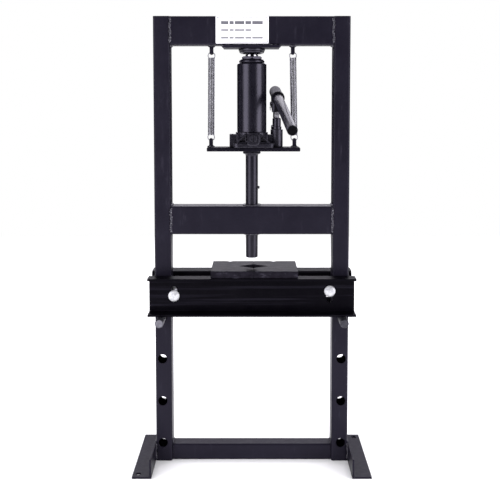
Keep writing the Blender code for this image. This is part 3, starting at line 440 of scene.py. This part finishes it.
def makeBeams():
    # the beams lie along X: the outline's first direction is up and its second is to the back
    for name in ("top_beam", "bottom_bar"):
        low, high = cornersOf(name)
        middle, half = (low + high) / 2, (high - low) / 2
        outer = roundedOutline(half[2], half[1], beam["corner"])
        wall = beam["wall"]
        inner = roundedOutline(half[2] - wall, half[1] - wall, beam["corner"] - wall * 0.6)
        place = lambda outline, x: np.stack([np.full(len(outline), x), middle[1] + outline[:, 1],
                                             middle[2] + outline[:, 0]], -1)
        grid = tubeGrid(outer, inner, low[0], high[0], place)
        makePiece(f"{name}_finished", [(grid, True, True)], "framePaint", "frame", [name])
    refine("middle_beam", "framePaint", "frame", 0.6, 3)
    refine("ram_guide", "framePaint", "frame", 0.5, 2)
    refine("jack_seat_plate", "framePaint", "frame", 0.7, 3)


weld = {"width": 5 * mm, "height": 1.9 * mm, "inset": 3.5 * mm}


def makeWelds():
    # beads at every joint of the frame: round the beams' ends, the feet, the seat plate, the lugs and the guide
    beads = []
    width, height, inset = weld["width"], weld["height"], weld["inset"]
    for beamName in ("top_beam", "middle_beam", "bottom_bar"):
        low, high = cornersOf(beamName)
        for index, x in enumerate((low[0], high[0])):
            seed = index + low[2] * 40
            inward = 1 if index == 0 else -1
            if beamName != "bottom_bar":
                for y, facing in ((low[1], -1), (high[1], 1)):
                    start = (x + inward * 0.3 * mm, y, low[2] + inset)
                    end = (x + inward * 0.3 * mm, y, high[2] - inset)
                    beads.append(beadGrid(start, end, width, height * 0.8, (inward * 0.15, facing, 0),
                                          seed=seed))
                start, end = (x, low[1] + inset, low[2]), (x, high[1] - inset, low[2])
                beads.append(beadGrid(start, end, width, height * 1.3, (inward, 0, -1), seed=seed + 1))
            if beamName != "top_beam":
                start, end = (x, low[1] + inset, high[2]), (x, high[1] - inset, high[2])
                beads.append(beadGrid(start, end, width, height * 1.3, (inward, 0, 1), seed=seed + 2))
    for name, sign in (("left_foot", -1), ("right_foot", 1)):
        low, high = cornersOf(name)
        postLow, postHigh = cornersOf(name.replace("foot", "post"))
        x = low[0] if sign > 0 else high[0]
        for y, facing in ((postLow[1], -1), (postHigh[1], 1)):
            start, end = (x, y, 3 * mm), (x, y, high[2] - 1 * mm)
            beads.append(beadGrid(start, end, width, height * 1.2, (-sign, facing, 0), seed=sign + y * 100))
        start, end = (x, postLow[1] + 4 * mm, high[2]), (x, postHigh[1] - 4 * mm, high[2])
        beads.append(beadGrid(start, end, width, height * 1.2, (sign, 0, 1), seed=sign))
    low, high = cornersOf("jack_seat_plate")
    beamLow, beamHigh = cornersOf("top_beam")
    for y, facing in ((beamLow[1], -1), (beamHigh[1], 1)):
        start, end = (low[0] + 4 * mm, y, high[2]), (high[0] - 4 * mm, y, high[2])
        beads.append(beadGrid(start, end, width * 0.9, height, (0, facing, 0.6), seed=facing))
    for x, facing in ((low[0], -1), (high[0], 1)):
        start, end = (x, -16 * mm, high[2]), (x, 16 * mm, high[2])
        beads.append(beadGrid(start, end, width * 1.1, height * 1.7, (facing, 0, -0.5), seed=facing + 4))
    # the beads' pale specks are painted glints
    makePiece("frame_welds", [(grid, False, True) for grid in beads], "weldGlintPaint", "frame", (), 60, False)
    for side in ("left", "right"):
        for level, body in (("upper", "frame"), ("lower", "press_head")):
            refine(f"{side}_{level}_lug", "framePaint", body, 0.5, 3)
            low, high = cornersOf(f"{side}_{level}_lug")
            base, sign = (high[2], -1) if level == "upper" else (low[2], 1)
            x = (low[0] + high[0]) / 2
            foot = []
            for facing in (-1, 1):
                y = low[1] if facing < 0 else high[1]
                start, end = (x - 8 * mm, y, base), (x + 8 * mm, y, base)
                foot.append(beadGrid(start, end, 6 * mm, 2.2 * mm, (0, facing, sign), seed=facing + x * 50))
            grids = [(grid, False, True) for grid in foot]
            makePiece(f"{side}_{level}_lug_weld", grids, "weldGlintPaint", body, (), 60, False)
    guide = gauge("ram_guide", up)
    turn = np.linspace(0.35, 2 * np.pi - 0.35, 160)
    for end, name in ((guide["low"], "below"), (guide["high"], "above")):
        ripple = 1 + 0.16 * np.abs(np.sin(turn * 21))
        z = guide["middle"][2] + end - math.copysign(2.1 * mm, end)
        ring = guide["radius"] + 0.8 * mm
        path = np.stack([ring * np.cos(turn), ring * np.sin(turn), np.full_like(turn, z)], -1)
        reference = np.tile(up, (len(path), 1))
        grid = sweepGrid(path, 2.1 * mm * ripple, reference, 12)
        makePiece(f"guide_weld_{name}", [(grid, False, True)], "weldGlintPaint", "frame", (), 60, False)


makePosts()
makeBeams()
makeWelds()
print("frame made")


# label

# a row is its level, start, end and thickness, as shares of the label's size
label = {
    "border": 2.2 * mm, "line": 1.0 * mm, "proud": 0.12 * mm, "rootedAt": 0.02 * mm,
    "rows": ((0.76, 0.1, 0.95, 0.12), (0.49, 0.1, 0.72, 0.07), (0.21, 0.1, 0.94, 0.07)),
    "words": (0.16, 0.1, 0.2, 0.13, 0.22, 0.09, 0.18, 0.12),
}


def slabGrid(low, high, radius):
    # a thin upright plate facing the front: a rounded outline at two depths, closed by points at its middle
    middle, half = (low + high) / 2, (high - low) / 2
    outline = roundedOutline(half[0], half[2], radius, 5, radius * 0.1)
    ring = lambda y, share: np.stack([middle[0] + outline[:, 0] * share, np.full(len(outline), y),
                                      middle[2] + outline[:, 1] * share], -1)
    return np.stack([ring(low[1], 0), ring(low[1], 1), ring(high[1], 1), ring(high[1], 0)])


def makeLabel():
    low, high = cornersOf("label")
    makePiece("label_film", [(slabGrid(low, high, 1.5 * mm), False, True)], "labelFilm", "frame", ["label"])
    ink, pale = [], []
    size = high - low
    front, root = low[1] - label["proud"], low[1] - label["rootedAt"]
    for level, start, end, thick in label["rows"]:
        # a row of printing stands as a few plain bars of uneven length
        x = start
        for width in label["words"]:
            if x + width > end:
                break
            z = low[2] + size[2] * level
            first = np.array([low[0] + size[0] * x, front, z - size[2] * thick / 2])
            last = np.array([low[0] + size[0] * (x + width - 0.02), root, z + size[2] * thick / 2])
            (ink if level > 0.7 else pale).append((slabGrid(first, last, 0.5 * mm), False, True))
            x += width
    # a thin line runs round the sheet a little way in from its edge
    near, far, line = low + label["border"], high - label["border"], label["line"]
    for x in ((near[0], far[0]), (near[0], near[0] + line), (far[0] - line, far[0])):
        for z in ((near[2], near[2] + line), (far[2] - line, far[2]), (near[2], far[2])):
            if (x[1] - x[0] > 10 * line) != (z[1] - z[0] > 10 * line):
                first, last = np.array([x[0], front, z[0]]), np.array([x[1], root, z[1]])
                ink.append((slabGrid(first, last, 0.1 * mm), False, True))
    makePiece("label_printing", ink, "labelInk", "frame")
    makePiece("label_fine_printing", pale, "labelPale", "frame")


makeLabel()
print("label made")


# springs

spring = {"wire": 1.0 * mm, "pitch": 2.06 * mm, "loopRadius": 7.0 * mm, "coilRadius": 6.2 * mm}


def springPath(bottom, top):
    # a helix up the axis between the two eyes; each end bends in to the axis and round one full loop
    axis = top - bottom
    length = np.linalg.norm(axis)
    axis /= length
    side = right - axis * (right @ axis)
    side /= np.linalg.norm(side)
    other = np.cross(axis, side)
    loop, coil = spring["loopRadius"], spring["coilRadius"]
    coilLow, coilHigh = 2 * loop - 2.6 * mm, length - 2 * loop + 2.6 * mm
    turns = round((coilHigh - coilLow) / spring["pitch"])
    t = np.linspace(0, 1, turns * 26)
    angle = 2 * np.pi * turns * t
    helix = np.stack([coil * np.cos(angle), coil * np.sin(angle), coilLow + (coilHigh - coilLow) * t], -1)
    turn = np.linspace(-0.38 * np.pi, 1.42 * np.pi, 46)
    ring = np.stack([loop * np.cos(turn), np.zeros_like(turn), loop * np.sin(turn)], -1)
    upper = ring + [0, 0, length - loop + 0.4 * mm]
    lower = (ring * [1, 1, -1])[::-1] + [0, 0, loop - 0.4 * mm]
    s = np.linspace(0, 1, 14)[1:-1, None]

    def bend(p, dp, q, dq):
        # a cubic that leaves p along dp and meets q along dq
        return ((2 * s**3 - 3 * s**2 + 1) * p + (s**3 - 2 * s**2 + s) * dp
                + (3 * s**2 - 2 * s**3) * q + (s**3 - s**2) * dq)

    swing = 9 * mm
    wound = np.array([0, swing, 0.5 * mm])
    startUp = bend(helix[-1], wound, upper[0], np.array([0.4 * swing, 0, 0.8 * swing]))
    startDown = bend(lower[-1], np.array([-0.4 * swing, 0, 0.8 * swing]), helix[0], wound)
    local = np.concatenate([lower, startDown, helix, startUp, upper])
    rows = [len(lower), len(startDown), len(helix), len(startUp), len(upper)]
    looped = np.concatenate([np.ones(rows[0]), np.linspace(1, 0, rows[1]), np.zeros(rows[2]),
                             np.linspace(0, 1, rows[3]), np.ones(rows[4])])[:, None]
    path = bottom + local[:, :1] * side + local[:, 1:2] * other + local[:, 2:] * axis
    reference = axis * (1 - looped) + other * looped
    return path, reference


def makeSprings():
    for name in ("left_spring", "right_spring"):
        points = nodePoints(name)
        top = points[points[:, 2] > points[:, 2].max() - 2 * mm].mean(0)
        bottom = points[points[:, 2] < points[:, 2].min() + 2 * mm].mean(0)
        top[1] = bottom[1] = 0
        top[2], bottom[2] = points[:, 2].max() - spring["wire"], points[:, 2].min() + spring["wire"]
        path, reference = springPath(bottom, top)
        grid = sweepGrid(path, spring["wire"], reference, 8)
        piece = makePiece(f"{name}_wire", [(grid, False, True)], "springWire", None, [name], 80, False)
        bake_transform(piece)


makeSprings()
print("springs made")


# press head and jack

ram = {"radius": 13 * mm, "weldRadius": 18 * mm, "weldHeight": 8.5 * mm, "chamfer": 1.4 * mm}


def makePressHead():
    refine("press_plate", "pressPaint", "press_head", 1.6, 3)
    size = gauge("ram", up)
    radius, low, high = ram["radius"], size["low"], size["high"]
    profile = [(0, low), (radius - ram["chamfer"], low, 0.3 * mm), (radius, low + ram["chamfer"], 0.5 * mm)]
    profile += [(radius, high - ram["weldHeight"], 3 * mm)]
    profile += [(ram["weldRadius"], high, 0.0), (0, high)]
    turned("ram_finished", profile, size["middle"], up, "ramPaint", "press_head", ["ram"])
    # the bead under the plate: a rippled ring that rounds off the cone
    turn = np.linspace(0, 2 * np.pi, 241)[:-1]
    ring = 15.6 * mm + 0.35 * mm * np.sin(3 * turn)
    z = size["middle"][2] + high - 3.4 * mm
    path = np.stack([ring * np.cos(turn), ring * np.sin(turn), np.full_like(turn, z)], -1)
    swell = 3.1 * mm * (0.9 + 0.12 * np.abs(np.sin(turn * 15)))
    grid = sweepGrid(path, swell, np.tile(up, (len(path), 1)), 14, False)
    makePiece("ram_weld", [(grid, True, True)], "ramPaint", "press_head", (), 60, False)
    screw = gauge("ram_stop_screw", right)
    r, low, high = screw["radius"], screw["low"], screw["high"]
    profile = [(0, low), (r, low), (r, high - 1 * mm, 0.3 * mm), (r - 0.8 * mm, high, 0.2 * mm),
               (1.4 * mm, high),
               (1.4 * mm, high - 2 * mm), (0, high - 2 * mm)]
    turned("ram_stop_screw_finished", profile, screw["middle"], right, "darkSteel", "press_head",
           ["ram_stop_screw"], segments=48)


casting = {"voxel": 0.6 * mm, "smoothing": 2}


def makeCasting():
    # the base's solid is remeshed evenly and smoothed, which rounds every edge as a sand mould does
    piece = settle("jack_base_casting", nodes["jack_base"].data.copy(), "castEnamel", "press_head",
                   ["jack_base"],
                   80, False, False)
    remesh = piece.modifiers.new("even skin", "REMESH")
    remesh.mode = "VOXEL"
    remesh.voxel_size = casting["voxel"]
    remesh.use_smooth_shade = True
    soften = piece.modifiers.new("rounded by the mould", "SMOOTH")
    soften.factor = 0.5
    soften.iterations = casting["smoothing"]


tank = {"wall": 3 * mm, "capBore": 16.6 * mm}
piston = {"rod": 13.4 * mm, "bore": 9 * mm, "head": 16.6 * mm}
threadPitch = 2.5 * mm


def makeJack():
    size = gauge("oil_tank", up)
    r, low, high = size["radius"], size["low"], size["high"]
    wall = tank["wall"]
    profile = [
        (r - wall, low), (r - 0.8 * mm, low, 0.3 * mm), (r, low + 0.8 * mm, 0.4 * mm),
        (r, high - 3.2 * mm, 1.0 * mm),
        (r - 3.2 * mm, high, 1.0 * mm), (r - wall - 2 * mm, high), (r - wall - 2 * mm, high - 3 * mm),
        (r - wall, high - 3 * mm),
    ]
    turned("oil_tank_finished", profile, size["middle"], up, "jackEnamel", "press_head", ["oil_tank"], True,
           128)
    size = gauge("tank_cap", up)
    r, low, high = size["radius"], size["low"], size["high"]
    inner = tank["capBore"]
    profile = [(inner, low), (r - 0.9 * mm, low, 0.5 * mm), (r, low + 1.2 * mm, 0.8 * mm),
               (r, high - 3 * mm, 2.2 * mm), (r - 2.6 * mm, high, 1.2 * mm), (inner, high)]
    turned("tank_cap_finished", profile, size["middle"], up, "jackEnamel", "press_head", ["tank_cap"], True,
           128)
    makeGlandNut()
    size = gauge("saddle", up)
    r, low, high = size["radius"], size["low"], size["high"]
    profile = [(0, low), (21 * mm, low, 1 * mm), (25.4 * mm, low + 2 * mm, 0.8 * mm),
               (26.6 * mm, low + 4.8 * mm, 0.4 * mm), (25.9 * mm, low + 5.5 * mm, 0.3 * mm),
               (27.2 * mm, low + 6.2 * mm, 0.5 * mm), (r, high - 1.6 * mm, 0.8 * mm),
               (r - 0.6 * mm, high, 0.4 * mm),
               (0, high)]
    turned("saddle_finished", profile, size["middle"], up, "jackEnamel", "saddle", ["saddle"], False, 128)
    size = gauge("piston_rod", up)
    low, high = size["low"], size["high"]
    rodRadius, bore, head = piston["rod"], piston["bore"], piston["head"]
    profile = [(0, low), (head, low, 0.4 * mm), (head, low + 12 * mm, 0.4 * mm),
               (rodRadius, low + 12 * mm), (rodRadius, high - 1 * mm, 0.3 * mm),
               (rodRadius - 1 * mm, high, 0.3 * mm), (bore, high), (bore, low + 55 * mm), (0, low + 55 * mm)]
    turned("piston_rod_finished", profile, size["middle"], up, "groundSteel", "frame", ["piston_rod"])
    makeThread("extension_screw", threadPitch, "darkSteel", "saddle")
    size = gauge("rod_wiper", up)
    r, low, high = size["radius"], size["low"], size["high"]
    profile = [(r - 2 * mm, low), (r, low), (r, high - 1 * mm, 0.3 * mm), (r - 0.8 * mm, high, 0.4 * mm),
               (r - 1.4 * mm, high, 0.3 * mm), (r - 2 * mm, high - 1.2 * mm, 0.3 * mm)]
    turned("rod_wiper_finished", profile, size["middle"], up, "blackRubberAndShade", "press_head", ["rod_wiper"], True)
    size = gauge("filler_plug", back)
    low, high = size["low"], size["high"]
    profile = [(0, low), (4.2 * mm, low, 0.5 * mm), (4.2 * mm, low + 7 * mm, 0.3 * mm),
               (7 * mm, low + 7 * mm, 0.4 * mm), (6.6 * mm, high - 1 * mm, 0.8 * mm), (5 * mm, high, 0.6 * mm),
               (2.4 * mm, high, 0.3 * mm), (1.6 * mm, high - 0.8 * mm, 0.3 * mm), (0, high - 0.8 * mm)]
    turned("filler_plug_finished", profile, size["middle"], back, "blackRubberAndShade", "press_head", ["filler_plug"],
           segments=48)


def makeThread(name, pitch, finish, body, segments=64):
    # an upright screw thread: the radius falls and rises with height less the turn's share of one pitch
    size = gauge(name, up)
    rows = int((size["high"] - size["low"]) / pitch * 8)
    height = np.linspace(size["low"], size["high"], rows)[:, None]
    turn = np.linspace(0, 2 * np.pi, segments, endpoint=False)[None, :]
    phase = (height / pitch - turn / (2 * np.pi)) % 1
    depth = 0.5 * pitch * np.clip(np.abs(2 * phase - 1) * 1.3 - 0.15, 0, 1)
    taper = np.clip(np.minimum(height - size["low"], size["high"] - height) / pitch, 0, 1)
    radius = (size["radius"] - depth) * (1 - 0.12 * (1 - taper))
    grid = (size["middle"] + (radius * np.cos(turn))[..., None] * right + (radius * np.sin(turn))[...,
                                                                                                  None] * back
            + np.broadcast_to(height, radius.shape)[..., None] * up)
    ends = [np.repeat((size["middle"] + h * up)[None, None], segments, 1) for h in (size["low"], size["high"])]
    grid = np.concatenate([ends[0], grid, ends[1]])
    makePiece(f"{name}_thread", [(grid, False, True)], finish, body, [name], 50, False)


nut = {"acrossFlats": 40.7 * mm, "bore": 16 * mm, "turn": math.radians(2)}


def hexGrid(acrossFlats, low, high, bore, middle, axis, side, turn, segments=144):
    # a hexagon's radius at each angle, cut down at both ends by a cone, with a round bore
    angle = np.linspace(0, 2 * np.pi, segments, endpoint=False) + turn
    face = np.pi / 3
    flat = acrossFlats / 2 / np.cos((angle - turn + face / 2) % face - face / 2)
    flat = np.minimum(flat, acrossFlats / math.sqrt(3) * 0.985)
    cone = acrossFlats / 2 * 0.99
    drop = np.clip((flat - cone) * 0.55, 0, None)
    rows = [(np.full(segments, bore), np.full(segments, low)),
            (np.full(segments, cone), np.full(segments, low)),
            (flat, low + drop), (flat, high - drop), (np.full(segments, cone), np.full(segments, high)),
            (np.full(segments, bore + 0.8 * mm), np.full(segments, high)),
            (np.full(segments, bore), np.full(segments, high - 0.8 * mm))]
    other = np.cross(axis, side)
    direction = np.cos(angle)[:, None] * side + np.sin(angle)[:, None] * other
    return np.stack([middle + radius[:, None] * direction + height[:, None] * axis for radius, height in rows])


def makeGlandNut():
    size = gauge("gland_nut", up)
    grid = hexGrid(nut["acrossFlats"], size["low"], size["high"], nut["bore"], size["middle"], up, right,
                   nut["turn"])
    makePiece("gland_nut_finished", [(grid, True, True)], "jackEnamel", "press_head", ["gland_nut"], 35)


makePressHead()
makeCasting()
makeJack()
refine("release_valve", "castEnamel", "release_valve", 0.5, 3)
print("press head and jack made")


# hand pump

pumpAxis = joints["link_rock"]["axis"]
handleAxis = -np.array(joints["handle_pull"]["axis"])
handle = {"wall": 1.2 * mm, "edge": 0.4 * mm, "shadeDiscInset": 0.8 * mm, "collarGrowth": 4 * mm,
          "collarBore": 10.4 * mm}
headedPin = {"shank": 3 * mm, "head": 2.6 * mm}


def makePump():
    size = gauge("pump_barrel", up)
    low = size["low"]
    inner = 5.4 * mm
    profile = [
        (inner, low), (6.7 * mm, low), (6.7 * mm, low + 11.9 * mm), (10.2 * mm, low + 11.9 * mm, 0.5 * mm),
        (10.2 * mm, low + 17.6 * mm, 0.6 * mm), (8.9 * mm, low + 18.2 * mm, 0.4 * mm),
        (8.9 * mm, size["high"] - 1.4 * mm, 0.9 * mm), (7.6 * mm, size["high"], 0.4 * mm),
        (7 * mm, size["high"]),
        (7 * mm, size["high"] - 5 * mm), (inner, size["high"] - 5 * mm),
    ]
    turned("pump_barrel_finished", profile, size["middle"], up, "jackEnamel", "press_head", ["pump_barrel"],
           True)
    refine("plunger", "plungerSteel", "plunger", 0.8, 3)
    refine("pump_link", "jackEnamel", "pump_link", 0.8, 3)
    # the socket's grey coat is painted light
    refine("handle_socket", "socketLitPaint", "handle_socket", 0.8, 3)
    makeSocketWeb()
    makeHeadedPin("plunger_pin", "plunger")
    makeHeadedPin("link_upper_pin", "pump_link")
    refine("link_lower_pin", "darkSteel", "press_head", 0.5, 2)
    makeSplitRing()
    size = gauge("socket_collar", handleAxis)
    r, low, high = size["radius"], size["low"], size["high"]
    low -= handle["collarGrowth"]
    bore = handle["collarBore"]
    profile = [(bore, low), (r - 1.4 * mm, low, 0.9 * mm), (r, low + 1.4 * mm, 0.9 * mm),
               (r, high - 1 * mm, 0.5 * mm), (r - 1 * mm, high, 0.5 * mm), (bore, high)]
    # the collar's near-black is painted shade
    turned("socket_collar_finished", profile, size["middle"], handleAxis, "collarShadeBlack", "handle_socket",
           ["socket_collar"], True)
    size = gauge("handle_tube", handleAxis)
    r, low, high = size["radius"], size["low"], size["high"]
    inner, edge = r - handle["wall"], handle["edge"]
    profile = [(inner, low, 0.3 * mm), (inner + edge, low, 0.2 * mm), (r - edge, low, edge / 2),
               (r, low + edge, edge / 2), (r, high - edge, edge / 2), (r - edge, high, edge / 2), (inner, high)]
    turned("handle_tube_finished", profile, size["middle"], handleAxis, "handlePaint", "handle",
           ["handle_tube"], True)
    # a black disc sits just inside the tube's far end, painted shade for the tube's dark bore
    near, reach = low + handle["shadeDiscInset"], inner - 0.05 * mm
    profile = [(0, near), (reach, near, 0.3 * mm), (reach, near + 10 * mm), (0, near + 10 * mm)]
    turned("handle_bore_shade_disc", profile, size["middle"], handleAxis, "blackRubberAndShade", "handle", (), False, 64)


web = {"width": 11.2 * mm, "forward": 27.4 * mm, "thickness": 1.2 * mm, "low": -17 * mm, "high": 9 * mm}


def makeSocketWeb():
    # a thin web closes the front of the socket's two cheeks; its offsets are from the fulcrum
    fulcrum = np.array(joints["handle_pump"]["pos_m"])
    side = np.array(pumpAxis) / np.linalg.norm(pumpAxis)
    front = np.cross(side, up)
    front = -front if front[1] > 0 else front
    outline = roundedOutline(web["width"] / 2, (web["high"] - web["low"]) / 2, 1.5 * mm, 4, 0.2 * mm)
    middle = fulcrum + front * web["forward"] + up * (web["high"] + web["low"]) / 2
    ring = lambda depth, share: (middle + front * depth + share * (outline[:, :1] * side + outline[:, 1:] * up))
    half = web["thickness"] / 2
    grid = np.stack([ring(-half, 0), ring(-half, 1), ring(half, 1), ring(half, 0)])
    # the web takes the same painted shade black
    makePiece("socket_web", [(grid, False, True)], "collarShadeBlack", "handle_socket")


def makeHeadedPin(name, body):
    # a plain pin with a domed head on its left end and a small chamfer on the other
    size = gauge(name, pumpAxis)
    low, high, head = size["low"], size["high"], size["radius"]
    shank, neck = headedPin["shank"], low + headedPin["head"]
    profile = [(0, low), (head - 1.2 * mm, low, 0.8 * mm), (head, low + 1.2 * mm, 0.6 * mm),
               (head, neck, 0.2 * mm), (shank, neck), (shank, high - 0.8 * mm, 0.2 * mm),
               (shank - 0.8 * mm, high, 0.2 * mm), (0, high)]
    turned(f"{name}_finished", profile, size["middle"], pumpAxis, "darkSteel", body, [name], segments=48)


def makeSplitRing():
    # a key ring of two turns of wire, hanging from the plunger pin
    low, high = cornersOf("pin_split_ring")
    middle = (low + high) / 2
    radius = (high[2] - low[2]) / 2 - 0.6 * mm
    turn = np.linspace(0, 4 * np.pi * 0.96, 130)
    drift = np.linspace(-0.55, 0.55, len(turn))[:, None] * mm
    path = middle + radius * (np.cos(turn)[:, None] * back + np.sin(turn)[:, None] * up) + drift * right
    grid = sweepGrid(path, 0.5 * mm, np.tile(right, (len(path), 1)), 8)
    makePiece("pin_split_ring_wire", [(grid, False, True)], "plungerSteel", "plunger", ["pin_split_ring"], 60,
              False)


makePump()
print("hand pump made")


# bed

bedPin = {"bevel": 1.3 * mm, "endProud": 0.06 * mm, "endRoot": 0.2 * mm}
bolt = {"shank": 5 * mm, "bore": 5.3 * mm, "nutFlats": 17 * mm}


def makeBed():
    for name in ("front_channel", "rear_channel"):
        # the channels' coat carries painted shade and painted reflections
        refine(name, "bedShadeAndReflectionPaint", "bed", 0.8, 3)
    for side in ("left", "right"):
        makeBolt(side)
        refine(f"{side}_arbor_plate", "platePaint", f"{side}_plate", 0.7, 3)
        size = gauge(f"{side}_pin", back)
        r, low, high = size["radius"], size["low"], size["high"]
        bevel = bedPin["bevel"]
        profile = [(0, low), (r - bevel, low, 0.4 * mm), (r, low + bevel, 0.5 * mm),
                   (r, high - bevel, 0.5 * mm),
                   (r - bevel, high, 0.4 * mm), (0, high)]
        turned(f"{side}_pin_finished", profile, size["middle"], back, "pinSteel", f"{side}_pin",
               [f"{side}_pin"])
        if side == "left":
            # the sawn end, a dull grey, lies a hair proud of the bar's own end
            proud, root = low - bedPin["endProud"], low + bedPin["endRoot"]
            face = [(0, proud), (r - bevel, proud, 0.05 * mm), (r - bevel + bedPin["endRoot"], root),
                    (0, root)]
            turned("left_pin_grey_end", face, size["middle"], back, "greyEndPin", "left_pin")
    makeSeamShade()


seam = {"slack": 0.02 * mm, "below": 0.5 * mm, "inset": 0.6 * mm}


def makeSeamShade():
    # a dark strip fills the joint between the two plates up to just under their rounded edges, painted shade that
    # stops light showing through the gap
    points = nodePoints("left_arbor_plate")
    edges = points[:, 0].max(), nodePoints("right_arbor_plate")[:, 0].min()
    low, high = cornersOf("left_arbor_plate")
    atNotch = (edges[0] - points[:, 0] < 0.1 * mm) & (np.abs(points[:, 1]) < 0.4 * high[1])
    notch = points[atNotch, 1]
    strips = []
    for start, end in ((low[1] + seam["inset"], notch.min()), (notch.max(), high[1] - seam["inset"])):
        first = np.array([edges[0] + seam["slack"], start, low[2] + seam["inset"]])
        last = np.array([edges[1] - seam["slack"], end, high[2] - seam["below"]])
        strips.append((slabGrid(first, last, 0.05 * mm), False, True))
    makePiece("seam_shade_strip", strips, "blackRubberAndShade", "left_plate", (), 40, False)


def makeBolt(side):
    # coach bolt: a low domed head and a plain shank that runs on under the washer and nut
    size = gauge(f"{side}_bolt", back)
    r, low, high = size["radius"], size["low"], size["high"]
    shank = bolt["shank"]
    profile = [(0, low), (6.5 * mm, low + 0.35 * mm, 4 * mm), (10.3 * mm, low + 1.7 * mm, 1.5 * mm),
               (r, low + 3.6 * mm, 0.8 * mm), (r, low + 5.1 * mm, 0.4 * mm), (r - 0.4 * mm, low + 5.5 * mm),
               (shank, low + 5.5 * mm), (shank, high - 1 * mm, 0.3 * mm), (shank - 1 * mm, high, 0.3 * mm),
               (0, high)]
    turned(f"{side}_bolt_finished", profile, size["middle"], back, "zincPlate", "bed", [f"{side}_bolt"])
    size = gauge(f"{side}_washer", back)
    r, low, high = size["radius"], size["low"], size["high"]
    bore = bolt["bore"]
    profile = [(bore, low), (r - 0.3 * mm, low, 0.2 * mm), (r, low + 0.4 * mm, 0.2 * mm),
               (r, high - 0.6 * mm, 0.4 * mm), (r - 0.6 * mm, high, 0.4 * mm), (bore, high)]
    turned(f"{side}_washer_finished", profile, size["middle"], back, "zincPlate", "bed", [f"{side}_washer"],
           True)
    size = gauge(f"{side}_nut", back)
    grid = hexGrid(bolt["nutFlats"], size["low"], size["high"], bore, size["middle"], back, right, 0)
    makePiece(f"{side}_nut_finished", [(grid, True, True)], "zincPlate", "bed", [f"{side}_nut"], 35)


makeBed()
print("bed made")


# the nodes that keep their own mesh

keptMeshes = {
    "pressure_cylinder": "darkSteel", "piston_seal": "blackRubberAndShade", "pump_seal": "blackRubberAndShade",
    "suction_ball": "groundSteel", "delivery_ball": "groundSteel", "overload_ball": "groundSteel",
    "release_ball": "groundSteel", "overload_screw": "darkSteel",
}
for name, finish in keptMeshes.items():
    nodes[name].data.materials.clear()
    nodes[name].data.materials.append(surfaces[finish])


# floor, light and camera

ground = {"reach": 3.0, "below": 0.2 * mm, "colour": "#f4f4f4", "roughness": 0.9, "specular": 0.1}


def makeStage():
    # a flat pale floor just under the feet
    size = ground["reach"]
    corners = np.array([[-size, -size, 0], [size, -size, 0], [size, size, 0],
                        [-size, size, 0]]) - ground["below"] * up
    mesh = bpy.data.meshes.new("floor")
    mesh.from_pydata(corners, [], [(0, 1, 2, 3)])
    floor = bpy.data.objects.new("floor", mesh)
    bpy.context.scene.collection.objects.link(floor)
    pale = bpy.data.materials.new("matt_white_paper_floor")
    pale.use_nodes = True
    shader = pale.node_tree.nodes["Principled BSDF"]
    shader.inputs["Base Color"].default_value = linear(ground["colour"])
    shader.inputs["Roughness"].default_value = ground["roughness"]
    shader.inputs["Specular IOR Level"].default_value = ground["specular"]
    mesh.materials.append(pale)


studio = {
    # name: azimuth from the front, elevation, distance, width, height, watts
    "left_softbox": (-48, 8, 2.6, 1.9, 2.6, 60),
    "right_softbox": (60, 8, 2.6, 1.7, 2.6, 62),
    "top_softbox": (180, 68, 2.8, 2.6, 1.6, 60),
    "back_softbox": (180, 27, 2.6, 2.2, 1.1, 28),
}
lampLook = {"tint": "#f8f5ff", "aim": (0, 0, 0.55)}
world = {"seen": 1.0, "reflected": 0.004}


def makeLights():
    target = Vector(lampLook["aim"])
    for name, (azimuth, elevation, distance, width, height, watts) in studio.items():
        light = bpy.data.lights.new(name, "AREA")
        light.shape = "RECTANGLE"
        light.size = width
        light.size_y = height
        light.energy = watts
        light.color = linear(lampLook["tint"])[:3]
        lamp = bpy.data.objects.new(name, light)
        a, e = math.radians(azimuth), math.radians(elevation)
        lamp.visible_camera = False
        outward = Vector((math.sin(a) * math.cos(e), -math.cos(a) * math.cos(e), math.sin(e)))
        lamp.location = target + distance * outward
        lamp.rotation_euler = (target - lamp.location).to_track_quat("-Z", "Y").to_euler()
        bpy.context.scene.collection.objects.link(lamp)
    surround = bpy.data.worlds.new("white studio")
    surround.use_nodes = True
    tree = surround.node_tree
    white = tree.nodes["Background"]
    white.inputs["Color"].default_value = (1, 1, 1, 1)
    white.inputs["Strength"].default_value = world["seen"]
    dim = tree.nodes.new("ShaderNodeBackground")
    dim.inputs["Color"].default_value = (1, 1, 1, 1)
    dim.inputs["Strength"].default_value = world["reflected"]
    path = tree.nodes.new("ShaderNodeLightPath")
    choose = tree.nodes.new("ShaderNodeMixShader")
    tree.links.new(path.outputs["Is Glossy Ray"], choose.inputs[0])
    tree.links.new(white.outputs[0], choose.inputs[1])
    tree.links.new(dim.outputs[0], choose.inputs[2])
    tree.links.new(choose.outputs[0], tree.nodes["World Output"].inputs[0])
    bpy.context.scene.world = surround


view = {"place": (0.0, -1.758, 0.766), "tilt": 86.0, "lens": 59.57, "shift": (-0.0036, -0.175)}


def makeCamera():
    lens = bpy.data.cameras.new("camera")
    lens.lens = view["lens"]
    lens.sensor_width = 36
    lens.shift_x, lens.shift_y = view["shift"]
    lens.clip_end = 100
    camera = bpy.data.objects.new("camera", lens)
    camera.location = view["place"]
    camera.rotation_euler = (math.radians(view["tilt"]), 0, 0)
    bpy.context.scene.collection.objects.link(camera)
    bpy.context.scene.camera = camera


makeStage()
makeLights()
makeCamera()
bpy.context.scene.view_settings.view_transform = "Standard"
print("stage made")
